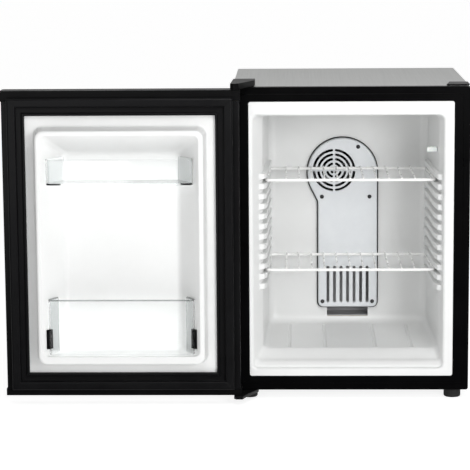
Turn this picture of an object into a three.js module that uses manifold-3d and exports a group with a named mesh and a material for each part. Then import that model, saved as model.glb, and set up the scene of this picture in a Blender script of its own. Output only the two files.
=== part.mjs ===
// A thermoelectric mini fridge of the hotel-room kind, with its door swung fully open.
// Units are millimetres. While it is built, x runs from the middle of the cabinet, y runs
// back from the face of the front frame, and z runs up from the floor.
// Door pieces are drawn with the door shut, and the door's group then swings it open.

import * as THREE from 'three';
import { mergeVertices } from 'three/addons/utils/BufferGeometryUtils.js';
import Module from 'manifold-3d';

const wasm = await Module();
wasm.setup();

// Cabinet
const cabinetWidth = 400;
const cabinetHeight = 520;
const cabinetDepth = 385;
const footHeight = 16;
const sheetThickness = 1.2;
const pieceGap = 0.3; // left between neighbouring pieces

// Front frame
const frameDepth = 16;
const frameBarWidth = 24.5; // top and bottom
const frameSideWidth = 26.8;
const frameStepWidth = 12; // outer border that stands back from the sealing face
const frameStepDepth = 1.5;
const frameCornerRadius = 4;

// Inner liner
const linerWall = 2.5;
const mouthInset = 38; // from the cabinet's side to the liner's mouth
const mouthShift = -5.5; // the mouth's front edge lies this far towards the hinge side
const mouthTopInset = 48;
const mouthBottomInset = 38.5;
const flareDepth = 42; // the mouth narrows over this depth
const flareNarrowing = 12;
const floorRise = 26.5;
const floorSlope = 5.5; // the floor rises by this much towards the rear
const ceilingDrop = 2;
const sideTaper = 7; // further narrowing from the flare to the rear corners
const linerCornerRadius = 15;
const mouthCornerRadius = 9;

// Shelf supports and shelves
const grooveCount = 11;
const groovePitch = 17.3;
const topGrooveDrop = 115.6; // from the mouth's top edge to the top groove
const grooveClearance = 1.6; // above and below the shelf's side wire together
const ribProud = 7;
const ribStarts = { left: 26, right: 12 };
const ribEndGap = 4;
const upperShelfGroove = 0;
const lowerShelfGroove = 9;
const shelfFront = 47;
const shelfRearGap = 35; // between the shelf and the rear wall
const shelfWireDiameter = 5;
const slatDiameter = 3;
const slatPitch = 22;
const shelfSideClearance = 3;

// Floor grooves
const floorGrooveWidth = 6;
const floorGrooveDepth = 1.2;
const floorGrooveOffsets = [43, 105];

// Insulation and cold unit
const machineSpace = 87; // open space behind the foam
const chamberWall = 12;
const chamberDepth = 46; // behind the liner's rear wall
const ductWall = 1.5;
const fanBoreRadius = 39;
const fanFrameDepth = 18;
const fanFrameWall = 3;
const fanStrutWidth = 6;
const fanMotorDepth = 5;
const fanBladeCount = 7;
const fanHubRadius = 13;
const fanOffset = -24.5;
const fanDrop = 122; // below the mouth's top edge
const coldSinkFanGap = 17;
const coldSink = { width: 90, height: 110, finDepth: 24, baseThickness: 6, fins: 9 };
const finThickness = 2;
const moduleSize = 40;
const moduleThickness = 4;
const heatSink = { width: 150, height: 130, finDepth: 34, baseThickness: 6, fins: 12 };
const outerFanBoreRadius = 44;

// Fan cover on the liner's rear wall
const coverProud = 12;
const coverThickness = 2.5;
const coverHalfWidth = 53.3;
const coverFloorGap = 34.5;
const coverSealWidth = 1.5;
const coverSealDepth = 3;
const coverArchRadius = 62.7;
const coverArchDrop = 5; // the head's centre lies this far below the fan's
const coverTaperDrop = 28;
const coverTaperHeight = 24;
const coverCornerRadius = 9;
const grilleRingRadii = [5, 12, 20, 28, 36];
const grilleSlotWidth = 4.4;
const grilleSpokeWidth = 3.2;
const ventSlotCount = 7;
const ventSlotPitch = 11.8;
const ventSlotWidth = 5.2;
const ventSlotRise = 9;
const ventSlotHeight = 67;
const coverScrewHeadRadius = 3.6;
const coverScrewMargin = 10;
const outlet = { halfWidth: 37, rise: 16, height: 18 };

// Lamp on the right wall
const lamp = { y: 60, depth: 12, proud: 18, drop: 69.2, height: 8 };

// Door
const doorThickness = 38;
const doorGap = 12; // between the door's inner plane and the frame, filled by the gasket
const doorCapHeight = 18;
const doorFootCapHeight = 12;
const doorCapProud = 1.7;
const doorCapWall = 2.5;
const doorHem = 14; // the skin's edges turn in this far
const rimSetBack = 2; // the liner's rim ends this far inside the gasket's outer edge
const doorTopGap = 0.8;
const doorBottomGap = 0.3;
const doorCornerRadius = 3;
const gasketInset = 12;
const gasketWidth = 29.2;
const gasketGrooveStart = 18;
const gasketGrooveWidth = 4.5;
const dikeInset = 57;
const dikeBottomInset = 58;
const dikeTopInset = 60;
const dikeHeight = 34;
const dikeTopWidth = 12;
const dikeDraft = 3;
const dikeCornerRadius = 10;
const pocketDepth = 18; // how far the liner's back lies behind the door's inner plane
const pocketSlope = 34;
const pocketFloorThickness = 17;
const bottleGuard = { rise: 2.7, height: 94, depth: 30, thickness: 2.2 };
const upperRack = { drop: 111.2, height: 43, thickness: 2.2 };
const trayClearance = 0.6;
const trayTipGap = 2;
const guardClip = { rise: 11.7, height: 33, width: 3.4, depth: 9, setBack: 4 };

// Hinges
const hingeInset = 7;
const hingeForward = 27;
const hingePinRadius = 3;
const bushWall = 1.4;
const bushLength = 9;
const pinEngagement = 8;
const bracketThickness = 2.5;
const lowerBracketThickness = 5;
const hingeCoverHeight = 10.5;
const hingeCoverWall = 1.8;
const hingeScrewRadius = 4;
const hingeScrewHead = 2.2;
const hingeScrewPlaces = [[13, 24], [26, 24]]; // from the cabinet's left side and the frame's face

// Feet
const footRadius = 14.5;
const footSideInset = 25.5;
const frontFootBack = 25;
const rearFootForward = 40;

// Places that follow from the sizes above
const halfWidth = cabinetWidth / 2;
const insulationDepth = cabinetDepth - machineSpace;
const linerDepth = insulationDepth - chamberWall - chamberDepth;
const shelfRear = linerDepth - shelfRearGap;
const cabinetTop = footHeight + cabinetHeight;
const hingeX = hingeInset - halfWidth;
const hingeY = -hingeForward;
const shellFront = frameDepth + pieceGap;
const shellInner = halfWidth - sheetThickness - pieceGap;
const baseTop = footHeight + sheetThickness;
const mouthHalf = halfWidth - mouthInset;
const mouthBottom = footHeight + mouthBottomInset;
const mouthTop = cabinetTop - mouthTopInset;
const floorHeight = mouthBottom + floorRise;
const topGrooveHeight = mouthTop - topGrooveDrop;
const fanCenter = { x: fanOffset, z: mouthTop - fanDrop };
const coldSinkTop = fanCenter.z - fanBoreRadius - fanFrameWall - coldSinkFanGap;
const coldSinkCenter = { x: 0, z: coldSinkTop - coldSink.height / 2 };
const coverBottom = floorHeight + coverFloorGap;
const coverArch = { x: coverHalfWidth - coverArchRadius, z: fanCenter.z - coverArchDrop };
const coverTaperTop = coverArch.z - coverTaperDrop;
const coverTaperBottom = coverTaperTop - coverTaperHeight;
const ventSlotBottom = coverBottom + ventSlotRise;
const ventSlotTop = ventSlotBottom + ventSlotHeight;
const outletBottom = floorHeight + outlet.rise;
const outletTop = outletBottom + outlet.height;
const doorInner = -doorGap;
const doorOuter = doorInner - doorThickness;
const doorBottom = footHeight + doorBottomGap;
const doorTop = cabinetTop - doorTopGap;
const pocketFloor = doorBottom + dikeBottomInset + pocketFloorThickness;
const skinBottom = doorBottom + doorFootCapHeight + pieceGap;
const skinTop = doorTop - doorCapHeight - pieceGap;
const moduleY = insulationDepth - moduleThickness;
const chamberBack = insulationDepth - chamberWall;
const heatSinkFront = insulationDepth + pieceGap;
const outerFanFront = heatSinkFront + heatSink.baseThickness + heatSink.finDepth + pieceGap;
const innerFanFront = linerDepth + linerWall + pieceGap;

// The liner's floor at a depth behind the flare
function floorAt(y) {
  return floorHeight + floorSlope * (y - flareDepth) / (linerDepth - flareDepth);
}

// Half the liner's inner width at a depth behind the flare
function wallAt(y) {
  const share = (y - flareDepth) / (linerDepth - flareDepth);
  return mouthHalf - flareNarrowing - sideTaper * share;
}

// Materials
function finish(color, roughness, metalness = 0) {
  return new THREE.MeshStandardMaterial({ color, roughness, metalness });
}

const finishes = {
  greySteel: finish(0xb4b6b5, 0.42, 0.6),
  blackPaint: finish(0x0c0c0d, 0.35, 0.2),
  blackPlastic: finish(0x101011, 0.5),
  blackRubber: finish(0x1c1c1e, 0.7),
  whitePlastic: finish(0xf1f2f1, 0.4),
  whiteWire: finish(0xf4f4f2, 0.35),
  coverPlastic: finish(0xdfe2e4, 0.45),
  clearPlastic: finish(0xe4e8e8, 0.1),
  greyPlastic: finish(0x5c5e60, 0.6),
  foam: finish(0xe8d9a4, 0.9),
  steel: finish(0xb9bcbf, 0.35, 0.9),
  aluminium: finish(0xc3c6c8, 0.4, 0.9),
  ceramic: finish(0xf0efe8, 0.5),
  lampPlastic: finish(0xfdfdfa, 0.3),
};

// Solids
function solid(geometry) {
  const bare = geometry.clone();
  bare.deleteAttribute('normal');
  bare.deleteAttribute('uv');
  const merged = mergeVertices(bare, 1e-4);
  const vertProperties = new Float32Array(merged.attributes.position.array);
  const triVerts = new Uint32Array(merged.index.array);
  return new wasm.Manifold(new wasm.Mesh({ numProp: 3, vertProperties, triVerts }));
}

function join(solids) {
  return solids.reduce((whole, next) => whole.add(next));
}

function cut(body, tools) {
  return tools.reduce((rest, tool) => rest.subtract(tool), body);
}

function block(x0, x1, y0, y1, z0, z1) {
  const geometry = new THREE.BoxGeometry(x1 - x0, y1 - y0, z1 - z0);
  geometry.translate((x0 + x1) / 2, (y0 + y1) / 2, (z0 + z1) / 2);
  return solid(geometry);
}

function rod(start, end, radius, sides = 8) {
  const from = new THREE.Vector3(...start);
  const along = new THREE.Vector3(...end).sub(from);
  const geometry = new THREE.CylinderGeometry(radius, radius, along.length(), sides);
  geometry.translate(0, along.length() / 2, 0);
  const up = new THREE.Vector3(0, 1, 0);
  geometry.applyQuaternion(new THREE.Quaternion().setFromUnitVectors(up, along.normalize()));
  geometry.translate(from.x, from.y, from.z);
  return solid(geometry);
}

// Corner points of a rectangle with rounded corners, anticlockwise from its lower right
function roundedOutline(x0, x1, z0, z1, radius, steps = 4) {
  const corners = [[x1 - radius, z0 + radius], [x1 - radius, z1 - radius],
    [x0 + radius, z1 - radius], [x0 + radius, z0 + radius]];
  return corners.flatMap(([x, z], corner) => Array.from({ length: steps + 1 }, (_, step) => {
    const angle = (corner - 1 + step / steps) * Math.PI / 2;
    return new THREE.Vector2(x + radius * Math.cos(angle), z + radius * Math.sin(angle));
  }));
}

// A plate standing across y, from its outline in x and z
function uprightPlate(outline, y0, y1, holes = []) {
  const shape = new THREE.Shape(outline);
  shape.holes = holes.map((hole) => new THREE.Path(hole));
  const geometry = new THREE.ExtrudeGeometry(shape, { depth: y1 - y0, bevelEnabled: false });
  geometry.rotateX(Math.PI / 2);
  geometry.translate(0, y1, 0);
  return solid(geometry);
}

// A plate lying level, from its outline in x and y
function levelPlate(points, z0, z1) {
  const shape = new THREE.Shape(points.map(([x, y]) => new THREE.Vector2(x, y)));
  const geometry = new THREE.ExtrudeGeometry(shape, { depth: z1 - z0, bevelEnabled: false });
  geometry.translate(0, 0, z0);
  return solid(geometry);
}

// A body through outlines that stand at increasing depths
function loft(sections) {
  const count = sections[0].outline.length;
  const positions = sections.flatMap(({ y, outline }) => outline.flatMap((p) => [p.x, y, p.y]));
  const index = [];
  for (let s = 0; s < sections.length - 1; s += 1) {
    for (let i = 0; i < count; i += 1) {
      const a = s * count + i;
      const b = s * count + (i + 1) % count;
      index.push(a, a + count, b, b, a + count, b + count);
    }
  }
  const last = (sections.length - 1) * count;
  for (const [a, b, c] of THREE.ShapeUtils.triangulateShape(sections[0].outline, [])) {
    index.push(a, b, c, last + a, last + c, last + b);
  }
  const geometry = new THREE.BufferGeometry();
  geometry.setAttribute('position', new THREE.Float32BufferAttribute(positions, 3));
  geometry.setIndex(index);
  return solid(geometry);
}

// A picture-frame ring standing across y
function ringPlate(half, bottom, top, inset, width, radius, y0, y1) {
  const outer = roundedOutline(-half + inset, half - inset, bottom + inset, top - inset, radius);
  const edge = inset + width;
  const inner = roundedOutline(-half + edge, half - edge, bottom + edge, top - edge, radius);
  return uprightPlate(outer, y0, y1, [inner]);
}

function circle(x, z, radius, sides = 24) {
  return Array.from({ length: sides }, (_, i) => {
    const angle = i * 2 * Math.PI / sides;
    return new THREE.Vector2(x + radius * Math.cos(angle), z + radius * Math.sin(angle));
  });
}

const cabinet = new THREE.Group();
const door = new THREE.Group();

function place(group, name, body, material) {
  const { vertProperties, triVerts } = body.getMesh();
  const geometry = new THREE.BufferGeometry();
  geometry.setAttribute('position', new THREE.BufferAttribute(vertProperties, 3));
  geometry.setIndex(new THREE.BufferAttribute(triVerts, 1));
  geometry.computeVertexNormals();
  const mesh = new THREE.Mesh(geometry, material);
  mesh.name = name;
  group.add(mesh);
}

// Folded steel wrapper: the top and both sides in one sheet
function cabinetShell() {
  const outer = block(-halfWidth, halfWidth, shellFront, cabinetDepth, baseTop, cabinetTop);
  const inner = block(-halfWidth + sheetThickness, halfWidth - sheetThickness,
    shellFront - 1, cabinetDepth + 1, baseTop - 1, cabinetTop - sheetThickness);
  return outer.subtract(inner);
}

function basePanel() {
  const top = baseTop - pieceGap;
  return block(-halfWidth, halfWidth, shellFront, cabinetDepth, footHeight, top);
}

// Rear sheet with a louvred round grille for the outer fan, low vents and the inlet's cut-out
const inlet = { x: -120, z: 70, width: 48, height: 28, depth: 24 };
const inletSocket = { halfWidth: 13, halfHeight: 9, depth: 18 };
const inletBlade = { pitch: 7, halfThickness: 1, halfHeight: 2, stagger: 4, setBack: 4 };
const louvreHeight = 5;
const fanLouvreRows = 3; // above and below the middle one
const fanLouvrePitch = 11;
const topLouvreRows = 5;
const topLouvrePitch = 14;
const topLouvreDrop = 60;
const topLouvreHalfWidth = 60;
const rearPanelBack = cabinetDepth - pieceGap;
const rearPanelFront = rearPanelBack - sheetThickness;

function rearPanel() {
  const panel = block(-shellInner, shellInner, rearPanelFront, rearPanelBack,
    baseTop + pieceGap, cabinetTop - sheetThickness - pieceGap);
  const through = [rearPanelFront - 1, rearPanelBack + 1];
  const slots = [];
  const louvre = (reach, z) => slots.push(block(-reach, reach, ...through, z - louvreHeight / 2,
    z + louvreHeight / 2));
  for (let row = -fanLouvreRows; row <= fanLouvreRows; row += 1) {
    const offset = row * fanLouvrePitch;
    louvre(Math.sqrt(outerFanBoreRadius ** 2 - offset ** 2), coldSinkCenter.z + offset);
  }
  for (let row = 0; row < topLouvreRows; row += 1) {
    louvre(topLouvreHalfWidth, cabinetTop - topLouvreDrop - row * topLouvrePitch);
  }
  slots.push(block(inlet.x - inlet.width / 2 - pieceGap, inlet.x + inlet.width / 2 + pieceGap,
    ...through, inlet.z - inlet.height / 2 - pieceGap, inlet.z + inlet.height / 2 + pieceGap));
  return cut(panel, slots);
}

// Shape of the liner's inside, grown by a margin for its outer face and for the foam around it
function linerSpace(margin, front) {
  const narrow = flareNarrowing;
  const r = linerCornerRadius;
  const stations = [
    [0, mouthHalf, mouthBottom, mouthTop, mouthShift],
    [flareDepth, mouthHalf - narrow, floorHeight, mouthTop - ceilingDrop],
    [linerDepth - r, wallAt(linerDepth - r), floorAt(linerDepth - r), mouthTop - ceilingDrop],
  ];
  for (const turn of [0.4, 0.75, 1]) {
    const angle = turn * Math.PI / 2;
    const inset = r * (1 - Math.cos(angle));
    stations.push([linerDepth - r + r * Math.sin(angle), wallAt(linerDepth) - inset,
      floorAt(linerDepth) + inset, mouthTop - ceilingDrop - inset]);
  }
  const sections = stations.map(([y, half, bottom, top, shift = 0], i) => ({
    y: i === 0 ? front : y + margin * y / linerDepth,
    outline: roundedOutline(shift - half - margin, shift + half + margin, bottom - margin, top + margin,
      mouthCornerRadius + margin),
  }));
  return loft(sections);
}

function grooveHeight(index) {
  return topGrooveHeight - index * groovePitch;
}

function supportRibs() {
  const gap = shelfWireDiameter + grooveClearance;
  const ribHeight = groovePitch - gap;
  const ribEnd = linerDepth - ribEndGap;
  const ribs = [];
  for (let i = -1; i < grooveCount; i += 1) {
    const bottom = grooveHeight(i) - groovePitch + gap / 2;
    for (const side of [-1, 1]) {
      const flared = (y) => mouthHalf - flareNarrowing * y / flareDepth
        + side * mouthShift * (1 - y / flareDepth);
      const start = side < 0 ? ribStarts.left : ribStarts.right;
      const plan = [[flared(start) + 1, start], [flared(start + 5) - ribProud, start + 5],
        [wallAt(flareDepth) - ribProud, flareDepth], [wallAt(ribEnd) - ribProud, ribEnd],
        [wallAt(ribEnd) + 1, ribEnd], [wallAt(flareDepth) + 1, flareDepth]];
      const outline = plan.map(([x, y]) => [x * side, y]);
      if (side > 0) outline.reverse();
      ribs.push(levelPlate(outline, bottom, bottom + ribHeight));
    }
  }
  return ribs;
}

// The opening inside the front frame's four bars, less a gap
function frameWindow(gap) {
  const half = halfWidth - frameSideWidth - gap;
  const rise = frameBarWidth + gap;
  return roundedOutline(-half, half, footHeight + rise, cabinetTop - rise, frameCornerRadius);
}

function innerLiner() {
  const flange = uprightPlate(frameWindow(pieceGap), pieceGap, pieceGap + linerWall);
  const tub = linerSpace(linerWall, pieceGap);
  const hollow = linerSpace(0, pieceGap - 1);
  const grooves = floorGrooveOffsets.flatMap((offset) => [-offset, offset]).map((x) => loft(
    [flareDepth + 4, linerDepth - linerCornerRadius - 4].map((y) => ({
      y,
      outline: roundedOutline(x - floorGrooveWidth / 2, x + floorGrooveWidth / 2,
        floorAt(y) - floorGrooveDepth, floorAt(y) + 4, 0.6, 2),
    }))));
  const wall = [linerDepth - linerCornerRadius, linerDepth + linerWall + 1];
  const windows = [
    uprightPlate(circle(fanCenter.x, fanCenter.z, fanBoreRadius), ...wall),
    block(-coverHalfWidth + 12, coverHalfWidth - 12, ...wall, ventSlotBottom, ventSlotTop + 20),
    block(-outlet.halfWidth, outlet.halfWidth, ...wall, outletBottom, outletTop),
  ];
  windows.push(...coverScrewPlaces().map(([x, z]) => rod([x, wall[0], z], [x, wall[1], z], 1.8)));
  const ribs = join(supportRibs()).intersect(tub);
  return cut(join([cut(flange.add(tub), [hollow]), ribs]), [...grooves, ...windows]);
}

// Foam block around the liner, with a chamber behind the fan cover for the cold unit
const chamber = { left: fanCenter.x - 45, right: 50, bottom: outletBottom, top: fanCenter.z + 45 };

function insulationFoam() {
  const body = block(-shellInner, shellInner, shellFront, insulationDepth, baseTop + pieceGap,
    cabinetTop - sheetThickness - pieceGap);
  const half = moduleSize / 2 + pieceGap;
  return cut(body, [
    linerSpace(linerWall + pieceGap, shellFront - 3),
    block(chamber.left, chamber.right, linerDepth - 20, chamberBack, chamber.bottom, chamber.top),
    block(-half, half, chamberBack - 1, insulationDepth + 1, coldSinkCenter.z - half, coldSinkCenter.z + half),
  ]);
}

// Plastic lining of the chamber, open to the liner's windows and round the cold block's base
function ductLining() {
  const { left, right, bottom, top } = chamber;
  const near = pieceGap + ductWall;
  const front = innerFanFront;
  const back = chamberBack - pieceGap;
  const body = block(left + pieceGap, right - pieceGap, front, back, bottom + pieceGap, top - pieceGap);
  const room = block(left + near, right - near, front - 1, back - ductWall, bottom + near, top - near);
  const [halfX, halfZ] = [coldSink.width / 2 + pieceGap, coldSink.height / 2 + pieceGap];
  const window = block(-halfX, halfX, back - ductWall - 1, back + 1, coldSinkCenter.z - halfZ,
    coldSinkCenter.z + halfZ);
  return cut(body, [room, window]);
}

function frontFrame() {
  const window = frameWindow(0);
  const outer = (inset) => roundedOutline(-halfWidth + inset, halfWidth - inset, footHeight + inset,
    cabinetTop - inset, frameCornerRadius);
  const back = uprightPlate(outer(0), frameStepDepth, frameDepth, [window]);
  const face = uprightPlate(outer(frameStepWidth), 0, frameStepDepth + 1, [window]);
  return back.add(face);
}

// Low cap over the screw holes of the spare hinge place
function hingeHoleCap() {
  const width = 40;
  const height = 2;
  const z = cabinetTop + pieceGap;
  return levelPlate([[halfWidth - width, shellFront], [halfWidth - 6, shellFront],
    [halfWidth, shellFront + 6], [halfWidth, shellFront + 50], [halfWidth - width + 8,
      shellFront + 50]], z, z + height);
}

// Plan of the upper hinge: from the cabinet's top forward over the door's corner
const upperHingePlan = [[-2, -46], [4, -50], [12, -45], [37, 16], [38, 48], [1, 48]];

function shrunkPlan(points, distance) {
  const middle = points.reduce(([a, b], [x, y]) => [a + x / points.length, b + y / points.length],
    [0, 0]);
  return points.map(([x, y]) => {
    const length = Math.hypot(x - middle[0], y - middle[1]);
    const share = 1 - distance / length;
    return [middle[0] + (x - middle[0]) * share, middle[1] + (y - middle[1]) * share];
  });
}

function onCabinet(points) {
  return points.map(([x, y]) => [x - halfWidth, y]);
}

const bracketBottom = cabinetTop + pieceGap;
const bracketTop = bracketBottom + bracketThickness;

function hingeScrews() {
  return hingeScrewPlaces.map(([x, y]) => [x - halfWidth, y]);
}

function upperHingeBracket() {
  const plate = levelPlate(onCabinet(shrunkPlan(upperHingePlan, 8)), bracketBottom, bracketTop);
  const holes = hingeScrews().map(([x, y]) => rod([x, y, bracketBottom - 1],
    [x, y, bracketTop + 1], hingeScrewRadius / 2 + pieceGap));
  holes.push(rod([hingeX, hingeY, bracketBottom - 1], [hingeX, hingeY, bracketTop + 1],
    hingePinRadius + pieceGap, 16));
  return cut(plate, holes);
}

function upperHingePin() {
  const headTop = bracketTop + pieceGap + 1.5;
  const shaft = rod([hingeX, hingeY, doorTop - pinEngagement], [hingeX, hingeY, headTop],
    hingePinRadius, 16);
  const head = rod([hingeX, hingeY, bracketTop + pieceGap], [hingeX, hingeY, headTop],
    hingePinRadius + 2, 16);
  return shaft.add(head);
}

function upperHingeCover() {
  const top = cabinetTop + hingeCoverHeight;
  const outer = levelPlate(onCabinet(upperHingePlan), bracketBottom, top);
  const inner = levelPlate(onCabinet(shrunkPlan(upperHingePlan, 5)), bracketBottom - 1,
    top - hingeCoverWall);
  return outer.subtract(inner);
}

function screw(x, y, z, direction) {
  const head = rod([x, y, z], [x, y, z + direction * hingeScrewHead], hingeScrewRadius, 12);
  const shank = rod([x, y, z - direction * (bracketThickness - pieceGap)],
    [x, y, z + direction * 0.5], hingeScrewRadius / 2, 8);
  return head.add(shank);
}

// Steel foot of the hinge under the door's lower corner and the cabinet
const lowerHingePlan = [[1, -44], [5, -48], [16, -48], [22, -30], [42, 8], [42, 48], [1, 48]];
const lowerBracketTop = footHeight - pieceGap;
const lowerBracketBottom = lowerBracketTop - lowerBracketThickness;

function lowerHingeBracket() {
  const plate = levelPlate(onCabinet(lowerHingePlan), lowerBracketBottom, lowerBracketTop);
  const pin = rod([hingeX, hingeY, lowerBracketBottom - 1], [hingeX, hingeY, footHeight + 1],
    hingePinRadius + pieceGap, 16);
  return plate.subtract(pin);
}

function lowerHingePin() {
  const bottom = lowerBracketBottom - pieceGap;
  const shaft = rod([hingeX, hingeY, bottom - 1.5], [hingeX, hingeY, doorBottom + pinEngagement],
    hingePinRadius, 16);
  return shaft.add(rod([hingeX, hingeY, bottom - 2], [hingeX, hingeY, bottom],
    hingePinRadius + 2, 16));
}

function foot(x, y, height) {
  const profile = [[0, 0], [footRadius - 4, 0], [footRadius - 1.2, 1.2], [footRadius, 4],
    [footRadius, height], [0, height]].map(([r, z]) => new THREE.Vector2(r, z));
  const geometry = new THREE.LatheGeometry(profile, 20);
  geometry.rotateX(Math.PI / 2);
  geometry.translate(x, y, 0);
  return solid(geometry);
}

// Welded wire shelf that narrows towards the back with the liner's walls
function wireShelf(groove) {
  const z = grooveHeight(groove);
  const radius = shelfWireDiameter / 2;
  const slatRadius = slatDiameter / 2;
  const frontHalf = wallAt(shelfFront) - shelfSideClearance - radius;
  const rearHalf = wallAt(shelfRear) - shelfSideClearance - radius;
  const wires = [
    rod([-frontHalf - radius, shelfFront, z], [frontHalf + radius, shelfFront, z], radius, 10),
    rod([-rearHalf - radius, shelfRear, z], [rearHalf + radius, shelfRear, z], radius, 10),
    rod([-frontHalf, shelfFront, z], [-rearHalf, shelfRear, z], radius, 10),
    rod([frontHalf, shelfFront, z], [rearHalf, shelfRear, z], radius, 10),
  ];
  const count = 2 * Math.floor((rearHalf - slatPitch / 2) / slatPitch) + 1;
  const slatHeight = z + radius + slatRadius - 0.8;
  for (let i = 0; i < count; i += 1) {
    const x = (i - (count - 1) / 2) * slatPitch;
    wires.push(rod([x, shelfFront - radius, slatHeight], [x, shelfRear + radius, slatHeight],
      slatRadius, 6));
  }
  return join(wires);
}

// The cover's screws: one in the head, two below the taper and two at the bottom
function coverScrewPlaces() {
  const side = coverHalfWidth - coverScrewMargin;
  const low = coverBottom + coverScrewMargin + 1;
  const high = coverTaperBottom + 9;
  return [[coverArch.x + 28, coverArch.z + 47], [-side - 3, high], [side - 4, high],
    [-side - 2, low], [side + 1, low]];
}

// Outline of the fan cover: a round head that tapers into a straight lower part
function coverOutline(inset) {
  const half = coverHalfWidth - inset;
  const radius = coverArchRadius - inset;
  const shoulder = Math.asin((coverTaperTop - coverArch.z) / coverArchRadius);
  const points = roundedOutline(-half, half, coverBottom + inset, coverBottom + 60,
    coverCornerRadius - inset, 3);
  const lower = points.slice(0, 4);
  const lowerLeft = points.slice(12);
  const arch = Array.from({ length: 25 }, (_, i) => {
    const angle = (Math.PI - shoulder) * i / 24;
    return new THREE.Vector2(coverArch.x + radius * Math.cos(angle),
      coverArch.z + radius * Math.sin(angle));
  });
  return [...lower, ...arch, new THREE.Vector2(-half, coverTaperBottom), ...lowerLeft];
}

function fanCover() {
  const front = linerDepth - coverProud;
  const back = linerDepth - pieceGap;
  const shell = uprightPlate(coverOutline(0), front, back);
  const hollow = uprightPlate(coverOutline(coverThickness), front + coverThickness, back + 1);
  const bosses = coverScrewPlaces().map(([x, z]) => rod([x, front + 1, z], [x, back, z], 4.5, 10));
  const through = [front - 1, front + coverThickness + 1];
  const rings = grilleRingRadii.map((radius) => uprightPlate(
    circle(fanCenter.x, fanCenter.z, radius + grilleSlotWidth / 2, 28), ...through,
    [circle(fanCenter.x, fanCenter.z, radius - grilleSlotWidth / 2, 28)]));
  const reach = fanBoreRadius + 2;
  const spoke = grilleSpokeWidth / 2;
  const spokes = [
    block(fanCenter.x - spoke, fanCenter.x + spoke, front - 2, back, fanCenter.z - reach,
      fanCenter.z + reach),
    block(fanCenter.x - reach, fanCenter.x + reach, front - 2, back, fanCenter.z - spoke,
      fanCenter.z + spoke),
  ];
  const slots = Array.from({ length: ventSlotCount }, (_, i) => {
    const x = (i - (ventSlotCount - 1) / 2) * ventSlotPitch;
    return block(x - ventSlotWidth / 2, x + ventSlotWidth / 2, ...through, ventSlotBottom,
      ventSlotTop);
  });
  const holes = coverScrewPlaces().map(([x, z]) => rod([x, front - 1, z], [x, back + 1, z], 1.8));
  const body = join([shell.subtract(hollow), ...bosses.map((boss) => boss.intersect(shell))]);
  return cut(body, [...rings.map((ring) => cut(ring, spokes)), ...slots, ...holes]);
}

// Dark foam strip pressed on round the cover's foot
function coverSeal() {
  const back = linerDepth - pieceGap;
  return uprightPlate(coverOutline(-pieceGap - coverSealWidth), back - coverSealDepth, back,
    [coverOutline(-pieceGap)]);
}

function coverScrew(x, z) {
  const front = linerDepth - coverProud - pieceGap;
  const head = rod([x, front - 2, z], [x, front, z], coverScrewHeadRadius, 12);
  return head.add(rod([x, front - 0.5, z], [x, linerDepth + linerWall, z], 1.5));
}

// Square fan housing with a round bore and a motor hub on two crossing struts
function fanFrame(center, front, bore) {
  const half = bore + fanFrameWall;
  const back = front + fanFrameDepth;
  const { x, z } = center;
  const housing = uprightPlate(roundedOutline(x - half, x + half, z - half, z + half, 4), front,
    back, [circle(x, z, bore)]);
  const strut = [back - fanStrutWidth / 2, back];
  return join([housing,
    block(x - bore - 1, x + bore + 1, ...strut, z - fanStrutWidth / 2, z + fanStrutWidth / 2),
    block(x - fanStrutWidth / 2, x + fanStrutWidth / 2, ...strut, z - bore - 1, z + bore + 1),
    rod([x, back - fanMotorDepth, z], [x, back, z], fanHubRadius, 16)]);
}

function fanRotor(center, front, bore) {
  const { x, z } = center;
  const hubFront = front + 1;
  const hubBack = front + fanFrameDepth - fanMotorDepth - 2 * pieceGap;
  const pieces = [rod([x, hubFront, z], [x, hubBack, z], fanHubRadius, 16)];
  const tip = bore - 2;
  for (let i = 0; i < fanBladeCount; i += 1) {
    const geometry = new THREE.BoxGeometry(tip - fanHubRadius + 4, 1.6, 15);
    geometry.rotateX(Math.PI / 5);
    geometry.translate((tip + fanHubRadius - 4) / 2, (hubFront + hubBack) / 2, 0);
    geometry.rotateY(i * 2 * Math.PI / fanBladeCount);
    geometry.translate(x, 0, z);
    pieces.push(solid(geometry).intersect(rod([x, hubFront, z], [x, hubBack, z], tip, 24)));
  }
  return join(pieces);
}

// Finned block; direction is +1 where the fins stand behind the base and -1 in front of it
function finnedSink(size, baseFront, direction) {
  const half = size.width / 2;
  const [bottom, top] = [coldSinkCenter.z - size.height / 2, coldSinkCenter.z + size.height / 2];
  const baseBack = baseFront + size.baseThickness;
  const pieces = [block(-half, half, baseFront, baseBack, bottom, top)];
  for (let i = 0; i < size.fins; i += 1) {
    const x = -half + (size.width - finThickness) * i / (size.fins - 1);
    const span = direction > 0 ? [baseBack - 1, baseBack + size.finDepth]
      : [baseFront - size.finDepth, baseFront + 1];
    pieces.push(block(x, x + finThickness, ...span, bottom, top));
  }
  return join(pieces);
}

// Inner heat exchanger with a boss that reaches the thermoelectric module
function coldHeatSink() {
  const front = chamberBack - pieceGap - coldSink.baseThickness;
  const half = moduleSize / 2;
  const boss = block(-half, half, chamberBack - 2, moduleY - pieceGap, coldSinkCenter.z - half,
    coldSinkCenter.z + half);
  return finnedSink(coldSink, front, -1).add(boss);
}

function thermoelectricModule() {
  const half = moduleSize / 2;
  return block(-half, half, moduleY, insulationDepth, coldSinkCenter.z - half, coldSinkCenter.z + half);
}

const powerCase = { wall: 2, sideGap: 10, frontGap: 12, rearGap: 20, rise: 28, height: 70 };

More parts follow.
